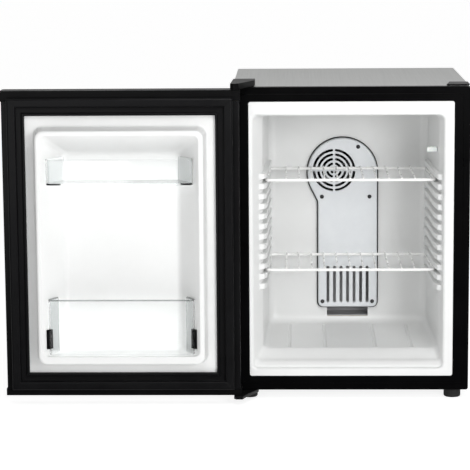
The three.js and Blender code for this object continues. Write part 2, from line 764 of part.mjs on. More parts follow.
function powerUnit() {
  const { wall } = powerCase;
  const left = heatSink.width / 2 + powerCase.sideGap;
  const right = shellInner - powerCase.sideGap;
  const front = insulationDepth + powerCase.frontGap;
  const [bottom, top] = [baseTop + powerCase.rise, baseTop + powerCase.rise + powerCase.height];
  const body = block(left, right, front, rearPanelFront - powerCase.rearGap, bottom, top);
  return body.subtract(block(left + wall, right - wall, front + wall, rearPanelFront,
    bottom + wall, top - wall));
}

// Appliance inlet for a detachable mains lead
function mainsInlet() {
  const body = block(inlet.x - inlet.width / 2, inlet.x + inlet.width / 2,
    rearPanelBack - inlet.depth, rearPanelBack, inlet.z - inlet.height / 2,
    inlet.z + inlet.height / 2);
  const socket = block(inlet.x - inletSocket.halfWidth, inlet.x + inletSocket.halfWidth,
    rearPanelBack - inletSocket.depth, rearPanelBack + 1, inlet.z - inletSocket.halfHeight,
    inlet.z + inletSocket.halfHeight);
  const blades = [-1, 0, 1].map((place) => {
    const x = inlet.x + place * inletBlade.pitch;
    const z = inlet.z + (place === 0 ? inletBlade.stagger : 0);
    return block(x - inletBlade.halfThickness, x + inletBlade.halfThickness,
      rearPanelBack - inletSocket.depth - 1, rearPanelBack - inletBlade.setBack,
      z - inletBlade.halfHeight, z + inletBlade.halfHeight);
  });
  return join([body.subtract(socket), ...blades]);
}

function wallLamp() {
  const wall = wallAt(lamp.y + lamp.depth) - pieceGap;
  const bottom = mouthTop - lamp.drop;
  return levelPlate([[wall - lamp.proud, lamp.y], [wall, lamp.y], [wall, lamp.y + lamp.depth],
    [wall - lamp.proud + 3, lamp.y + lamp.depth]], bottom, bottom + lamp.height);
}

// Door: folded skin between two plastic end caps, with hems that turn in under the liner's rim
function doorSkin() {
  const half = halfWidth - doorCapProud;
  const edge = doorInner - linerWall;
  const outer = block(-half, half, doorOuter, edge, skinBottom, skinTop);
  const inner = block(-half + sheetThickness, half - sheetThickness, doorOuter + sheetThickness,
    edge - sheetThickness, skinBottom - 1, skinTop + 1);
  const opening = block(-half + doorHem, half - doorHem, edge - sheetThickness - 1, edge + 1,
    skinBottom - 1, skinTop + 1);
  return cut(outer, [inner, opening]);
}

function bushRadius() {
  return hingePinRadius + pieceGap + bushWall;
}

// Hollow end cap with a boss for the hinge bush; open is the side that meets the skin
function doorCap(z0, z1, openUp) {
  const wall = doorCapWall;
  const outline = [[-halfWidth + doorCornerRadius, doorOuter], [halfWidth - doorCornerRadius,
    doorOuter], [halfWidth, doorOuter + doorCornerRadius], [halfWidth, doorInner - linerWall],
  [-halfWidth, doorInner - linerWall], [-halfWidth, doorOuter + doorCornerRadius]];
  const outer = levelPlate(outline, z0, z1);
  const [floor, roof] = openUp ? [z0 + wall, z1 + 1] : [z0 - 1, z1 - wall];
  const inner = block(-halfWidth + wall, halfWidth - wall, doorOuter + wall,
    doorInner - linerWall - wall, floor, roof);
  const boss = rod([hingeX, hingeY, z0], [hingeX, hingeY, z1], bushRadius() + 2.4, 16);
  const bore = rod([hingeX, hingeY, z0 - 1], [hingeX, hingeY, z1 + 1], bushRadius() + pieceGap,
    16);
  return join([outer.subtract(inner), boss.intersect(outer)]).subtract(bore);
}

function hingeBush(z0) {
  const outer = rod([hingeX, hingeY, z0], [hingeX, hingeY, z0 + bushLength], bushRadius(), 16);
  return outer.subtract(rod([hingeX, hingeY, z0 - 1], [hingeX, hingeY, z0 + bushLength + 1],
    hingePinRadius + pieceGap, 16));
}

// Space in the door's moulded liner between the dikes, narrowed by a margin
function pocketSpace(margin, reachOut) {
  const inset = dikeInset + dikeTopWidth + margin;
  const bottom = pocketFloor + margin;
  const top = doorTop - dikeTopInset - dikeTopWidth - margin;
  const back = doorInner - pocketDepth + margin;
  const tip = doorInner + dikeHeight;
  const radius = dikeCornerRadius;
  return loft([
    { y: back, outline: roundedOutline(-halfWidth + inset + pocketSlope,
      halfWidth - inset - pocketSlope, bottom, top - pocketSlope, radius) },
    { y: tip, outline: roundedOutline(-halfWidth + inset, halfWidth - inset, bottom, top,
      radius) },
    { y: tip + reachOut, outline: roundedOutline(-halfWidth + inset, halfWidth - inset, bottom,
      top, radius) },
  ]);
}

// Raised ring of the door's liner, grown or shrunk by a margin
function dikeBody(margin, back) {
  const at = (inset) => roundedOutline(-halfWidth + dikeInset + inset - margin,
    halfWidth - dikeInset - inset + margin, doorBottom + dikeBottomInset + inset - margin,
    doorTop - dikeTopInset - inset + margin, dikeCornerRadius + 4);
  const tip = doorInner + dikeHeight + margin;
  return loft([{ y: back, outline: at(0) }, { y: tip - 5, outline: at(dikeDraft) },
    { y: tip - 1.5, outline: at(dikeDraft + 1.5) }, { y: tip, outline: at(dikeDraft + 4) }]);
}

function pocketBacking(margin) {
  return loft([doorInner - pocketDepth - margin, doorInner].map((y, i) => {
    const slope = pocketSlope * (1 - i * pocketDepth / (pocketDepth + dikeHeight)) - margin;
    const inset = dikeInset + dikeTopWidth + slope;
    return { y, outline: roundedOutline(-halfWidth + inset, halfWidth - inset,
      pocketFloor - margin,
      doorTop - dikeTopInset - dikeTopWidth - slope, dikeCornerRadius) };
  }));
}

function doorLiner() {
  const edge = gasketInset + rimSetBack;
  const rim = uprightPlate(roundedOutline(-halfWidth + edge, halfWidth - edge, doorBottom + edge,
    doorTop - edge, 4), doorInner - linerWall + pieceGap, doorInner);
  const body = join([rim, dikeBody(0, doorInner - linerWall + pieceGap),
    pocketBacking(linerWall)]);
  return body.subtract(pocketSpace(0, 5));
}

function doorFoam() {
  const half = halfWidth - doorCapProud - sheetThickness - pieceGap;
  const outer = doorOuter + sheetThickness + pieceGap;
  const front = doorInner - linerWall - pieceGap;
  const [bottom, top] = [skinBottom + pieceGap, skinTop - pieceGap];
  const between = halfWidth - doorCapProud - doorHem - pieceGap;
  const body = block(-half, half, outer, front - sheetThickness, bottom, top)
    .add(block(-between, between, outer, front, bottom, top));
  return body.subtract(pocketBacking(linerWall + pieceGap));
}

// Magnetic gasket: a flat sealing band, a groove and a thin inner lip
function doorGasket() {
  const ring = (inset, width, front, back) => ringPlate(halfWidth, doorBottom, doorTop,
    gasketInset + inset, width, 1.5, front, back);
  const front = doorInner + pieceGap;
  const lip = gasketGrooveStart + gasketGrooveWidth;
  return join([
    ring(0, gasketWidth, front, front + 4),
    ring(1.5, gasketGrooveStart - 1.5, front, -pieceGap),
    ring(0, gasketGrooveStart, front, -pieceGap - 1.5),
    ring(lip, gasketWidth - lip, front, front + 8),
  ]);
}

// Clear trays follow the sloping sides of the door's liner
function pocketWall(size, bottom, openBottom, back) {
  const tip = doorInner + dikeHeight - trayTipGap;
  const top = bottom + size.height;
  const zone = block(-halfWidth, halfWidth, back, tip, bottom, top);
  const outer = pocketSpace(trayClearance, 5).intersect(zone);
  const base = openBottom ? bottom - 1 : bottom + size.thickness;
  const inside = pocketSpace(trayClearance + size.thickness, 5).intersect(
    block(-halfWidth, halfWidth, back - 50, tip - size.thickness, base, top + 1));
  return outer.subtract(inside);
}

// Clip that locks the guard's wing to the dike; it follows the pocket's sloping side
function clipSolid(side, margin) {
  const tip = doorInner + dikeHeight - trayTipGap - guardClip.setBack;
  const span = side > 0 ? [0, halfWidth] : [-halfWidth, 0];
  const bottom = pocketFloor + guardClip.rise;
  const zone = block(...span, tip - guardClip.depth - margin, tip + margin,
    bottom - margin, bottom + guardClip.height + margin);
  const outer = pocketSpace(trayClearance - margin, 5);
  return outer.subtract(pocketSpace(trayClearance + guardClip.width + margin, 10)).intersect(zone);
}

function lowerBottleGuard() {
  const back = doorInner + dikeHeight - trayTipGap - bottleGuard.depth;
  const guard = pocketWall(bottleGuard, pocketFloor + bottleGuard.rise, true, back);
  return cut(guard, [clipSolid(-1, pieceGap), clipSolid(1, pieceGap)]);
}

function upperDoorRack() {
  const bottom = doorTop - upperRack.drop - upperRack.height;
  return pocketWall(upperRack, bottom, false, doorInner - pocketDepth);
}

// Cabinet
place(cabinet, 'cabinet_shell', cabinetShell(), finishes.greySteel);
place(cabinet, 'base_panel', basePanel(), finishes.steel);
place(cabinet, 'rear_panel', rearPanel(), finishes.blackPaint);
place(cabinet, 'insulation_foam', insulationFoam(), finishes.foam);
place(cabinet, 'inner_liner', innerLiner(), finishes.whitePlastic);
place(cabinet, 'duct_lining', ductLining(), finishes.greyPlastic);
place(cabinet, 'front_frame', frontFrame(), finishes.blackPlastic);
place(cabinet, 'hinge_hole_cap', hingeHoleCap(), finishes.blackPlastic);

// Hinges
place(cabinet, 'upper_hinge_bracket', upperHingeBracket(), finishes.steel);
place(cabinet, 'upper_hinge_pin', upperHingePin(), finishes.steel);
place(cabinet, 'upper_hinge_cover', upperHingeCover(), finishes.blackPlastic);
place(cabinet, 'lower_hinge_bracket', lowerHingeBracket(), finishes.blackPaint);
place(cabinet, 'lower_hinge_pin', lowerHingePin(), finishes.steel);
hingeScrews().forEach(([x, y], i) => {
  const z = bracketTop + pieceGap;
  place(cabinet, `upper_hinge_screw_${i + 1}`, screw(x, y, z, 1), finishes.steel);
});

// Feet: the front left one stands under the lower hinge bracket
for (const [end, y] of [['front', frontFootBack], ['rear', cabinetDepth - rearFootForward]]) {
  for (const [side, sign] of [['left', -1], ['right', 1]]) {
    const under = end === 'front' && side === 'left' ? lowerBracketBottom : footHeight;
    place(cabinet, `${end}_foot_${side}`,
      foot(sign * (halfWidth - footSideInset), y, under - pieceGap), finishes.blackRubber);
  }
}

// Inside
place(cabinet, 'upper_shelf', wireShelf(upperShelfGroove), finishes.whiteWire);
place(cabinet, 'lower_shelf', wireShelf(lowerShelfGroove), finishes.whiteWire);
place(cabinet, 'fan_cover', fanCover(), finishes.coverPlastic);
place(cabinet, 'cover_seal', coverSeal(), finishes.blackRubber);
coverScrewPlaces().forEach(([x, z], i) => {
  place(cabinet, `fan_cover_screw_${i + 1}`, coverScrew(x, z), finishes.blackPlastic);
});
place(cabinet, 'wall_lamp', wallLamp(), finishes.lampPlastic);

// Cooling unit
place(cabinet, 'inner_fan_frame', fanFrame(fanCenter, innerFanFront, fanBoreRadius),
  finishes.blackPlastic);
place(cabinet, 'inner_fan_rotor', fanRotor(fanCenter, innerFanFront, fanBoreRadius),
  finishes.blackPlastic);
place(cabinet, 'cold_heat_sink', coldHeatSink(), finishes.aluminium);
place(cabinet, 'thermoelectric_module', thermoelectricModule(), finishes.ceramic);
place(cabinet, 'hot_heat_sink', finnedSink(heatSink, heatSinkFront, 1), finishes.aluminium);
place(cabinet, 'outer_fan_frame', fanFrame(coldSinkCenter, outerFanFront, outerFanBoreRadius),
  finishes.blackPlastic);
place(cabinet, 'outer_fan_rotor', fanRotor(coldSinkCenter, outerFanFront, outerFanBoreRadius),
  finishes.blackPlastic);
place(cabinet, 'power_unit', powerUnit(), finishes.blackPlastic);
place(cabinet, 'mains_inlet', mainsInlet(), finishes.blackPlastic);

// Door
place(door, 'door_skin', doorSkin(), finishes.blackPaint);
place(door, 'door_top_cap', doorCap(doorTop - doorCapHeight, doorTop, false),
  finishes.blackPlastic);
place(door, 'door_bottom_cap', doorCap(doorBottom, doorBottom + doorFootCapHeight, true),
  finishes.blackPlastic);
place(door, 'door_foam', doorFoam(), finishes.foam);
place(door, 'door_liner', doorLiner(), finishes.whitePlastic);
place(door, 'door_gasket', doorGasket(), finishes.blackRubber);
place(door, 'door_upper_bush', hingeBush(doorTop - bushLength), finishes.whitePlastic);
place(door, 'door_lower_bush', hingeBush(doorBottom), finishes.whitePlastic);
place(door, 'bottle_guard', lowerBottleGuard(), finishes.clearPlastic);
place(door, 'guard_clip_left', clipSolid(1, 0), finishes.blackPlastic);
place(door, 'guard_clip_right', clipSolid(-1, 0), finishes.blackPlastic);
place(door, 'door_upper_rack', upperDoorRack(), finishes.clearPlastic);

// The door's group turns about the hinge; its pieces hang from that axis
const hinge = new THREE.Group();
hinge.position.set(hingeX, hingeY, 0);
hinge.rotation.z = -Math.PI;
door.position.set(-hingeX, -hingeY, 0);
hinge.add(door);

// The whole stands with its box's bottom centre at the origin
const fridge = new THREE.Group();
fridge.add(cabinet, hinge);
fridge.updateMatrixWorld(true);
const middle = new THREE.Box3().setFromObject(fridge).getCenter(new THREE.Vector3());
fridge.position.set(-middle.x, -middle.y, 0);

export default fridge;
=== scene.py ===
import math

import bmesh
import bpy
from mathutils import Matrix, Vector


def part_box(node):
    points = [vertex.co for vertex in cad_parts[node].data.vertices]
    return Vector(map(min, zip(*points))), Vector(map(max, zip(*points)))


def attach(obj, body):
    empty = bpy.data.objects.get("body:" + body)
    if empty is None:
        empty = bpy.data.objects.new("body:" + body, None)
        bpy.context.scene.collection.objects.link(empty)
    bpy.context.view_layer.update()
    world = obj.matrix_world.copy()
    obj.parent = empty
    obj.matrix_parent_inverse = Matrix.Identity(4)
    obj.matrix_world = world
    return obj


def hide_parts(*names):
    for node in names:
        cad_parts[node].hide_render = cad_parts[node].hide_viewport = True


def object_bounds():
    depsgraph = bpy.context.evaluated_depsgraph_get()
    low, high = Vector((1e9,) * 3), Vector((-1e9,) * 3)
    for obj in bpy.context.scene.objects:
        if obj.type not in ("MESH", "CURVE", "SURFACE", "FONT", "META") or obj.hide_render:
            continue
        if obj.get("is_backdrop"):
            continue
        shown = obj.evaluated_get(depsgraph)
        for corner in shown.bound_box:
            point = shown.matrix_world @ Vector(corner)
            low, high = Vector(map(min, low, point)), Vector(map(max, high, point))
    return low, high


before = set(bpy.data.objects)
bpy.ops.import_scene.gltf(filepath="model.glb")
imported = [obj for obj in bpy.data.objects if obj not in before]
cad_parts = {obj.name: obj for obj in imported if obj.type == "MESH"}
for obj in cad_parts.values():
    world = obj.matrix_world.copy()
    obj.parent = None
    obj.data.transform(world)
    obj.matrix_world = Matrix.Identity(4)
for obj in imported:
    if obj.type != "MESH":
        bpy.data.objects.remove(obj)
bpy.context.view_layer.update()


# ---- Cabinet wrapper ----
# One sheet of grey coated steel, brushed front to back, folded over the top and down both
# sides. It is cut to length, bent on a press, and slid onto the foamed liner from behind.

mm = 0.001


def filleted(points, radius, closed=False, steps=6):
    """The line through the points, with an arc of the radius in each corner."""
    count = len(points)
    line = []
    for i, point in enumerate(points):
        corner = Vector(point)
        turn = radius[i] if isinstance(radius, (list, tuple)) else radius
        if turn <= 0 or (not closed and i in (0, count - 1)):
            line.append(corner)
            continue
        back = (Vector(points[i - 1]) - corner).normalized()
        ahead = (Vector(points[(i + 1) % count]) - corner).normalized()
        half = back.angle(ahead) / 2
        reach = turn / math.tan(half)
        centre = corner + (back + ahead).normalized() * turn / math.sin(half)
        first = corner + back * reach - centre
        last = corner + ahead * reach - centre
        sweep = math.pi - 2 * half
        for step in range(steps + 1):
            a = sweep * step / steps
            line.append(centre + (first * math.sin(sweep - a) + last * math.sin(a)) / math.sin(sweep))
    return line


def inset_line(line, distance, closed=False):
    """The flat line moved to its left by a distance."""
    moved = []
    count = len(line)
    for i, point in enumerate(line):
        before = line[i - 1] if closed or i > 0 else None
        after = line[(i + 1) % count] if closed or i < count - 1 else None
        sides = []
        for a, b in ((before, point), (point, after)):
            if a is not None and b is not None and (b - a).length > 1e-9:
                run = (b - a).normalized()
                sides.append(Vector((-run.y, run.x)))
        middle = sum(sides, Vector((0, 0))).normalized()
        moved.append(point + middle * distance / max(0.3, middle.dot(sides[0])))
    return moved


def new_piece(name, vertices, faces):
    mesh = bpy.data.meshes.new(name)
    mesh.from_pydata([tuple(v) for v in vertices], [], faces)
    made = bmesh.new()
    made.from_mesh(mesh)
    bmesh.ops.remove_doubles(made, verts=made.verts, dist=1e-6)
    bmesh.ops.recalc_face_normals(made, faces=made.faces)
    made.to_mesh(mesh)
    made.free()
    piece = bpy.data.objects.new(name, mesh)
    bpy.context.scene.collection.objects.link(piece)
    return piece


def through_rings(name, rings, caps=True, looped=False):
    """A skin through rings of points that all have the same count."""
    count = len(rings[0])
    vertices = [point for ring in rings for point in ring]
    faces = []
    for r in range(len(rings) if looped else len(rings) - 1):
        near = r * count
        far = (r + 1) % len(rings) * count
        for i in range(count):
            j = (i + 1) % count
            faces.append((near + i, near + j, far + j, far + i))
    if caps:
        faces.append(tuple(range(count)))
        faces.append(tuple(range(len(vertices) - count, len(vertices))))
    return new_piece(name, vertices, faces)


def folded_sheet(name, line, thickness, start, end, place):
    """A bent sheet: the line is its outer face, and place puts a point of it into the room."""
    inner = inset_line(line, thickness)
    rings = []
    for a, b in zip(line, inner):
        rings.append([place(a, start), place(a, end), place(b, end), place(b, start)])
    return through_rings(name, rings)


def apply_modifiers(piece):
    graph = bpy.context.evaluated_depsgraph_get()
    shaped = bpy.data.meshes.new_from_object(piece.evaluated_get(graph))
    piece.modifiers.clear()
    piece.data = shaped


def shade(piece, crease=35):
    """Smooth shading that keeps flat faces flat and creases sharp."""
    piece.data.shade_smooth()
    piece.data.set_sharp_from_angle(angle=math.radians(crease))
    weigh = piece.modifiers.new("even faces", "WEIGHTED_NORMAL")
    weigh.keep_sharp = True
    apply_modifiers(piece)
    return piece


def round_edges(piece, width, segments=2, angle=35):
    """Breaks the piece's sharp edges, as bending, moulding or a file does."""
    bevel = piece.modifiers.new("broken edges", "BEVEL")
    bevel.width = width
    bevel.segments = segments
    bevel.limit_method = "ANGLE"
    bevel.angle_limit = math.radians(angle)
    apply_modifiers(piece)
    return shade(piece)


def fit(piece, body, slot, material, *nodes):
    """Gives a piece its finish and its body, and hides the solids that it stands for."""
    piece.data.materials.clear()
    piece.data.materials.append(material)
    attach(piece, body)
    if nodes:
        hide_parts(*nodes)
    return piece


def node(tree, kind, inputs=None, **settings):
    made = tree.nodes.new(kind)
    for key, value in settings.items():
        setattr(made, key, value)
    for key, value in (inputs or {}).items():
        if isinstance(value, bpy.types.NodeSocket):
            tree.links.new(value, made.inputs[key])
        else:
            made.inputs[key].default_value = value
    return made


def shader_group(name, inputs, outputs):
    """An empty shader group with named numbers going in and coming out."""
    group = bpy.data.node_groups.new(name, "ShaderNodeTree")
    for label, value in inputs:
        socket = group.interface.new_socket(label, in_out="INPUT", socket_type="NodeSocketFloat")
        socket.default_value = value
    for label in outputs:
        group.interface.new_socket(label, in_out="OUTPUT", socket_type="NodeSocketFloat")
    return group, group.nodes.new("NodeGroupInput").outputs, group.nodes.new("NodeGroupOutput")


def calc(tree, operation, *values, clamp=False):
    made = tree.nodes.new("ShaderNodeMath")
    made.operation = operation
    made.use_clamp = clamp
    for i, value in enumerate(values):
        if isinstance(value, bpy.types.NodeSocket):
            tree.links.new(value, made.inputs[i])
        else:
            made.inputs[i].default_value = value
    return made.outputs[0]


def blend_colours(tree, share, first, second):
    mix = node(tree, "ShaderNodeMix", data_type="RGBA")
    for key, value in ((0, share), (6, first), (7, second)):
        if isinstance(value, bpy.types.NodeSocket):
            tree.links.new(value, mix.inputs[key])
        else:
            mix.inputs[key].default_value = value
    return mix.outputs[2]


# Grain of a surface: fine bumps of a given size, and slow patches for colour and gloss
grain_group, given, out = shader_group(
    "surface grain", [("Grain Size", 0.001), ("Grain Depth", 0.00001), ("Patch Size", 0.08)],
    ["Height", "Patches"])
spot = node(grain_group, "ShaderNodeTexCoord").outputs["Object"]
fine = node(grain_group, "ShaderNodeTexNoise",
            {"Vector": spot, "Scale": calc(grain_group, "DIVIDE", 1.0, given["Grain Size"]),
             "Detail": 2.0, "Roughness": 0.6})
slow = node(grain_group, "ShaderNodeTexNoise",
            {"Vector": spot, "Scale": calc(grain_group, "DIVIDE", 1.0, given["Patch Size"]),
             "Detail": 4.0, "Roughness": 0.65})
slow_range = node(grain_group, "ShaderNodeMapRange",
                  {"Value": slow.outputs[0], "From Min": 0.3, "From Max": 0.7})
grain_height = calc(grain_group, "MULTIPLY", fine.outputs[0], given["Grain Depth"])
grain_group.links.new(grain_height, out.inputs["Height"])
grain_group.links.new(slow_range.outputs[0], out.inputs["Patches"])

# Wear on outer edges: where a rounded normal turns away from the face's own
wear_group, given, out = shader_group(
    "edge wear", [("Reach", 0.001), ("Amount", 0.5), ("Breakup", 0.01)], ["Mask"])
rounded = node(wear_group, "ShaderNodeBevel", {"Radius": given["Reach"]}, samples=4)
facing = node(wear_group, "ShaderNodeNewGeometry")
agree = node(wear_group, "ShaderNodeVectorMath",
             {0: rounded.outputs[0], 1: facing.outputs["Normal"]}, operation="DOT_PRODUCT")
apart = calc(wear_group, "SUBTRACT", 1.0, agree.outputs["Value"])
turned = calc(wear_group, "MULTIPLY", apart, 7.0, clamp=True)
spot = node(wear_group, "ShaderNodeTexCoord").outputs["Object"]
chips = node(wear_group, "ShaderNodeTexNoise",
             {"Vector": spot, "Scale": calc(wear_group, "DIVIDE", 1.0, given["Breakup"]), "Detail": 3.0})
broken = node(wear_group, "ShaderNodeMapRange",
              {"Value": chips.outputs[0], "From Min": 0.35, "From Max": 0.65})
worn = calc(wear_group, "MULTIPLY", calc(wear_group, "MULTIPLY", turned, broken.outputs[0]), given["Amount"])
wear_group.links.new(worn, out.inputs["Mask"])

# Dust that has settled on faces that look up
dust_group, given, out = shader_group("settled dust", [("Amount", 0.2)], ["Mask"])
facing = node(dust_group, "ShaderNodeNewGeometry")
upward = node(dust_group, "ShaderNodeSeparateXYZ", {0: facing.outputs["Normal"]}).outputs["Z"]
spot = node(dust_group, "ShaderNodeTexCoord").outputs["Object"]
drift = node(dust_group, "ShaderNodeTexNoise",
             {"Vector": spot, "Scale": 22.0, "Detail": 6.0, "Roughness": 0.7})
lying = node(dust_group, "ShaderNodeMapRange", {"Value": upward, "From Min": 0.55, "From Max": 1.0})
settled = calc(dust_group, "MULTIPLY", calc(dust_group, "MULTIPLY", lying.outputs[0], drift.outputs[0]),
               given["Amount"])
dust_group.links.new(settled, out.inputs["Mask"])

# Fine parallel brush lines that run front to back
brush_group, given, out = shader_group(
    "brush lines", [("Line Width", 0.0006), ("Line Length", 0.12), ("Depth", 0.000002)], ["Height", "Streak"])
spot = node(brush_group, "ShaderNodeTexCoord").outputs["Object"]
across = calc(brush_group, "DIVIDE", 1.0, given["Line Width"])
along = calc(brush_group, "DIVIDE", 1.0, given["Line Length"])
stretch = node(brush_group, "ShaderNodeCombineXYZ", {"X": across, "Y": along, "Z": across})
pulled = node(brush_group, "ShaderNodeVectorMath", {0: spot, 1: stretch.outputs[0]}, operation="MULTIPLY")
lines = node(brush_group, "ShaderNodeTexNoise", {"Vector": pulled.outputs[0], "Scale": 1.0, "Detail": 3.0})
brush_group.links.new(calc(brush_group, "MULTIPLY", lines.outputs[0], given["Depth"]), out.inputs["Height"])
brush_group.links.new(lines.outputs[0], out.inputs["Streak"])


def placed(tree, group, **values):
    used = node(tree, "ShaderNodeGroup", node_tree=group)
    for label, value in values.items():
        used.inputs[label.replace("_", " ").title()].default_value = value
    return used.outputs


def finish(name, colour, patch_colour, roughness, spread=0.05, grain=(0.001, 0.00001), patch=0.08,
           wear=(0.0008, 0.3), worn_colour=(0.5, 0.5, 0.5), dust=0.1, metallic=0.0, specular=0.5,
           coat=0.0, subsurface=0.0):
    """A material with grain, slow colour and gloss changes, worn edges and a little dust."""
    material = bpy.data.materials.new(name)
    material.use_nodes = True
    tree = material.node_tree
    shader = tree.nodes["Principled BSDF"]
    texture = placed(tree, grain_group, grain_size=grain[0], grain_depth=grain[1], patch_size=patch)
    edges = placed(tree, wear_group, reach=wear[0], amount=wear[1])
    dusty = placed(tree, dust_group, amount=dust)
    base = blend_colours(tree, texture["Patches"], (*colour, 1), (*patch_colour, 1))
    scuffed = blend_colours(tree, edges["Mask"], base, (*worn_colour, 1))
    covered = blend_colours(tree, dusty["Mask"], scuffed, (0.45, 0.43, 0.4, 1))
    tree.links.new(covered, shader.inputs["Base Color"])
    gloss = node(tree, "ShaderNodeMapRange",
                 {"Value": texture["Patches"], "To Min": roughness - spread, "To Max": roughness + spread})
    dulled = calc(tree, "MULTIPLY_ADD", dusty["Mask"], 0.4, gloss.outputs[0], clamp=True)
    tree.links.new(dulled, shader.inputs["Roughness"])
    bump = node(tree, "ShaderNodeBump", {"Height": texture["Height"], "Strength": 1.0, "Distance": 1.0})
    tree.links.new(bump.outputs[0], shader.inputs["Normal"])
    shader.inputs["Metallic"].default_value = metallic
    shader.inputs["Specular IOR Level"].default_value = specular
    shader.inputs["Coat Weight"].default_value = coat
    shader.inputs["Subsurface Weight"].default_value = subsurface
    return material


def add_brushing(material, width, length, depth, dark, light):
    """Lays brush lines over a finish: streaks in its colour and furrows in its surface."""
    tree = material.node_tree
    shader = tree.nodes["Principled BSDF"]
    brushed = placed(tree, brush_group, line_width=width, line_length=length, depth=depth)
    base = shader.inputs["Base Color"].links[0].from_socket
    shown = node(tree, "ShaderNodeMapRange", {"Value": brushed["Streak"], "From Min": 0.3, "From Max": 0.7,
                                              "To Min": dark, "To Max": light})
    streaked = node(tree, "ShaderNodeVectorMath", {0: base, "Scale": shown.outputs[0]}, operation="SCALE")
    tree.links.new(streaked.outputs[0], shader.inputs["Base Color"])
    bump = shader.inputs["Normal"].links[0].from_node
    height = bump.inputs["Height"].links[0].from_socket
    tree.links.new(calc(tree, "ADD", height, brushed["Height"]), bump.inputs["Height"])


grey_steel = finish("brushed grey steel", (0.50, 0.51, 0.50), (0.55, 0.56, 0.55), 0.36, spread=0.04,
                    grain=(0.0009, 0.000004), patch=0.15, wear=(0.0007, 0.35),
                    worn_colour=(0.75, 0.75, 0.75), dust=0.12, metallic=0.35)
add_brushing(grey_steel, 0.0011, 0.25, 0.000003, 0.94, 1.06)

wrap_low, wrap_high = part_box("cabinet_shell")
wrap_thickness = 1.2 * mm
wrap_bend = 2.2 * mm
wrap_line = filleted([(wrap_high.x, wrap_low.z), (wrap_high.x, wrap_high.z), (wrap_low.x, wrap_high.z),
                      (wrap_low.x, wrap_low.z)], wrap_bend)
wrapper = folded_sheet("wrapper_sheet", wrap_line, wrap_thickness, wrap_low.y, wrap_high.y,
                       lambda p, run: (p.x, run, p.y))
fit(round_edges(wrapper, 0.25 * mm), "cabinet", "grey_steel", grey_steel, "cabinet_shell")


# ---- Base and rear panels ----
# A plain zinc-plated sheet closes the underside, and a black painted one the back. The rear
# sheet is punched with louvres for the outer fan and the warm air, and screwed on.

def softened(name, cad_node, width, segments=2, angle=35):
    """A copy of a machined or moulded solid with its sharp edges broken."""
    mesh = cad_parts[cad_node].data.copy()
    made = bmesh.new()
    made.from_mesh(mesh)
    bmesh.ops.remove_doubles(made, verts=made.verts, dist=1e-6)
    bmesh.ops.dissolve_limit(made, angle_limit=math.radians(1), verts=made.verts, edges=made.edges)
    made.to_mesh(mesh)
    made.free()
    piece = bpy.data.objects.new(name, mesh)
    bpy.context.scene.collection.objects.link(piece)
    return round_edges(piece, width, segments, angle)


zinc_steel = finish("zinc plated steel", (0.52, 0.53, 0.54), (0.60, 0.61, 0.60), 0.38, spread=0.1,
                    grain=(0.004, 0.000006), patch=0.02, wear=(0.0006, 0.4),
                    worn_colour=(0.8, 0.8, 0.8), dust=0.1, metallic=1.0)
black_paint = finish("black semi-gloss paint", (0.003, 0.003, 0.0034), (0.0045, 0.0045, 0.005), 0.34,
                     spread=0.05, grain=(0.0011, 0.000025), patch=0.12, wear=(0.0006, 0.25),
                     worn_colour=(0.08, 0.08, 0.08), dust=0.01, specular=0.15)
fit(softened("base_sheet", "base_panel", 0.3 * mm), "cabinet", "zinc_steel", zinc_steel, "base_panel")
fit(softened("rear_sheet", "rear_panel", 0.25 * mm), "cabinet", "black_paint", black_paint, "rear_panel")


# ---- Insulation ----
# Rigid polyurethane foam, poured between the liner and the wrapper, where it expands and sets.
# It glues the two together, and only shows where the cold unit's chamber is cut into it.

foam = finish("poured foam", (0.80, 0.70, 0.42), (0.70, 0.58, 0.32), 0.9, spread=0.05,
              grain=(0.0035, 0.0006), patch=0.05, wear=(0.002, 0.3), worn_colour=(0.85, 0.78, 0.55),
              dust=0.05, specular=0.2)
foam_block = softened("foam_block", "insulation_foam", 1.0 * mm)
fit(foam_block, "cabinet", "foam", foam, "insulation_foam")


# ---- Front frame ----
# A black moulded plastic frame with a stepped face: its outer border stands back, and the
# inner border is the flat land that the door's magnetic seal closes on.

frame_plastic = finish("black frame plastic", (0.0012, 0.0012, 0.0014), (0.002, 0.002, 0.0022), 0.3,
                       spread=0.05, grain=(0.0008, 0.00001), patch=0.1, wear=(0.0006, 0.25),
                       worn_colour=(0.03, 0.03, 0.03), dust=0.004, specular=0.05)
fit(softened("stepped_frame", "front_frame", 0.7 * mm, 3), "cabinet", "frame_plastic", frame_plastic,
    "front_frame")


# ---- Inner liner ----
# White polystyrene sheet, drawn by vacuum over a mould: a flange, a flared mouth, ribs on both
# side walls that carry the shelves, a raised floor with grooves, and windows behind the fan cover.

frame_low, frame_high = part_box("front_frame")
middle_x = (frame_low.x + frame_high.x) / 2
face_y = frame_low.y
flange_low, flange_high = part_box("inner_liner")
liner_wall = 2.5 * mm
mouth_half = 162 * mm
mouth_bottom = 54.5 * mm
mouth_top = 488 * mm
flare_depth = 42 * mm
liner_depth = 240 * mm
floor_height = 81 * mm
floor_slope = 5.5 * mm
mouth_shift = -5.5 * mm
ceiling_height = 486 * mm
mouth_roll = 4.5 * mm
rear_fillet = 15 * mm
liner_corner = 9 * mm
groove_pitch = 17.3 * mm
top_groove = mouth_top - 115.6 * mm
rib_gap = 6.6 * mm
rib_proud = 7 * mm
rib_count = 12
floor_grooves = (-105 * mm, -43 * mm, 43 * mm, 105 * mm)
floor_groove_width = 5.4 * mm
floor_groove_depth = 2.4 * mm


def ease(value, start, end):
    share = min(1.0, max(0.0, (value - start) / (end - start)))
    return share * share * (3 - 2 * share)


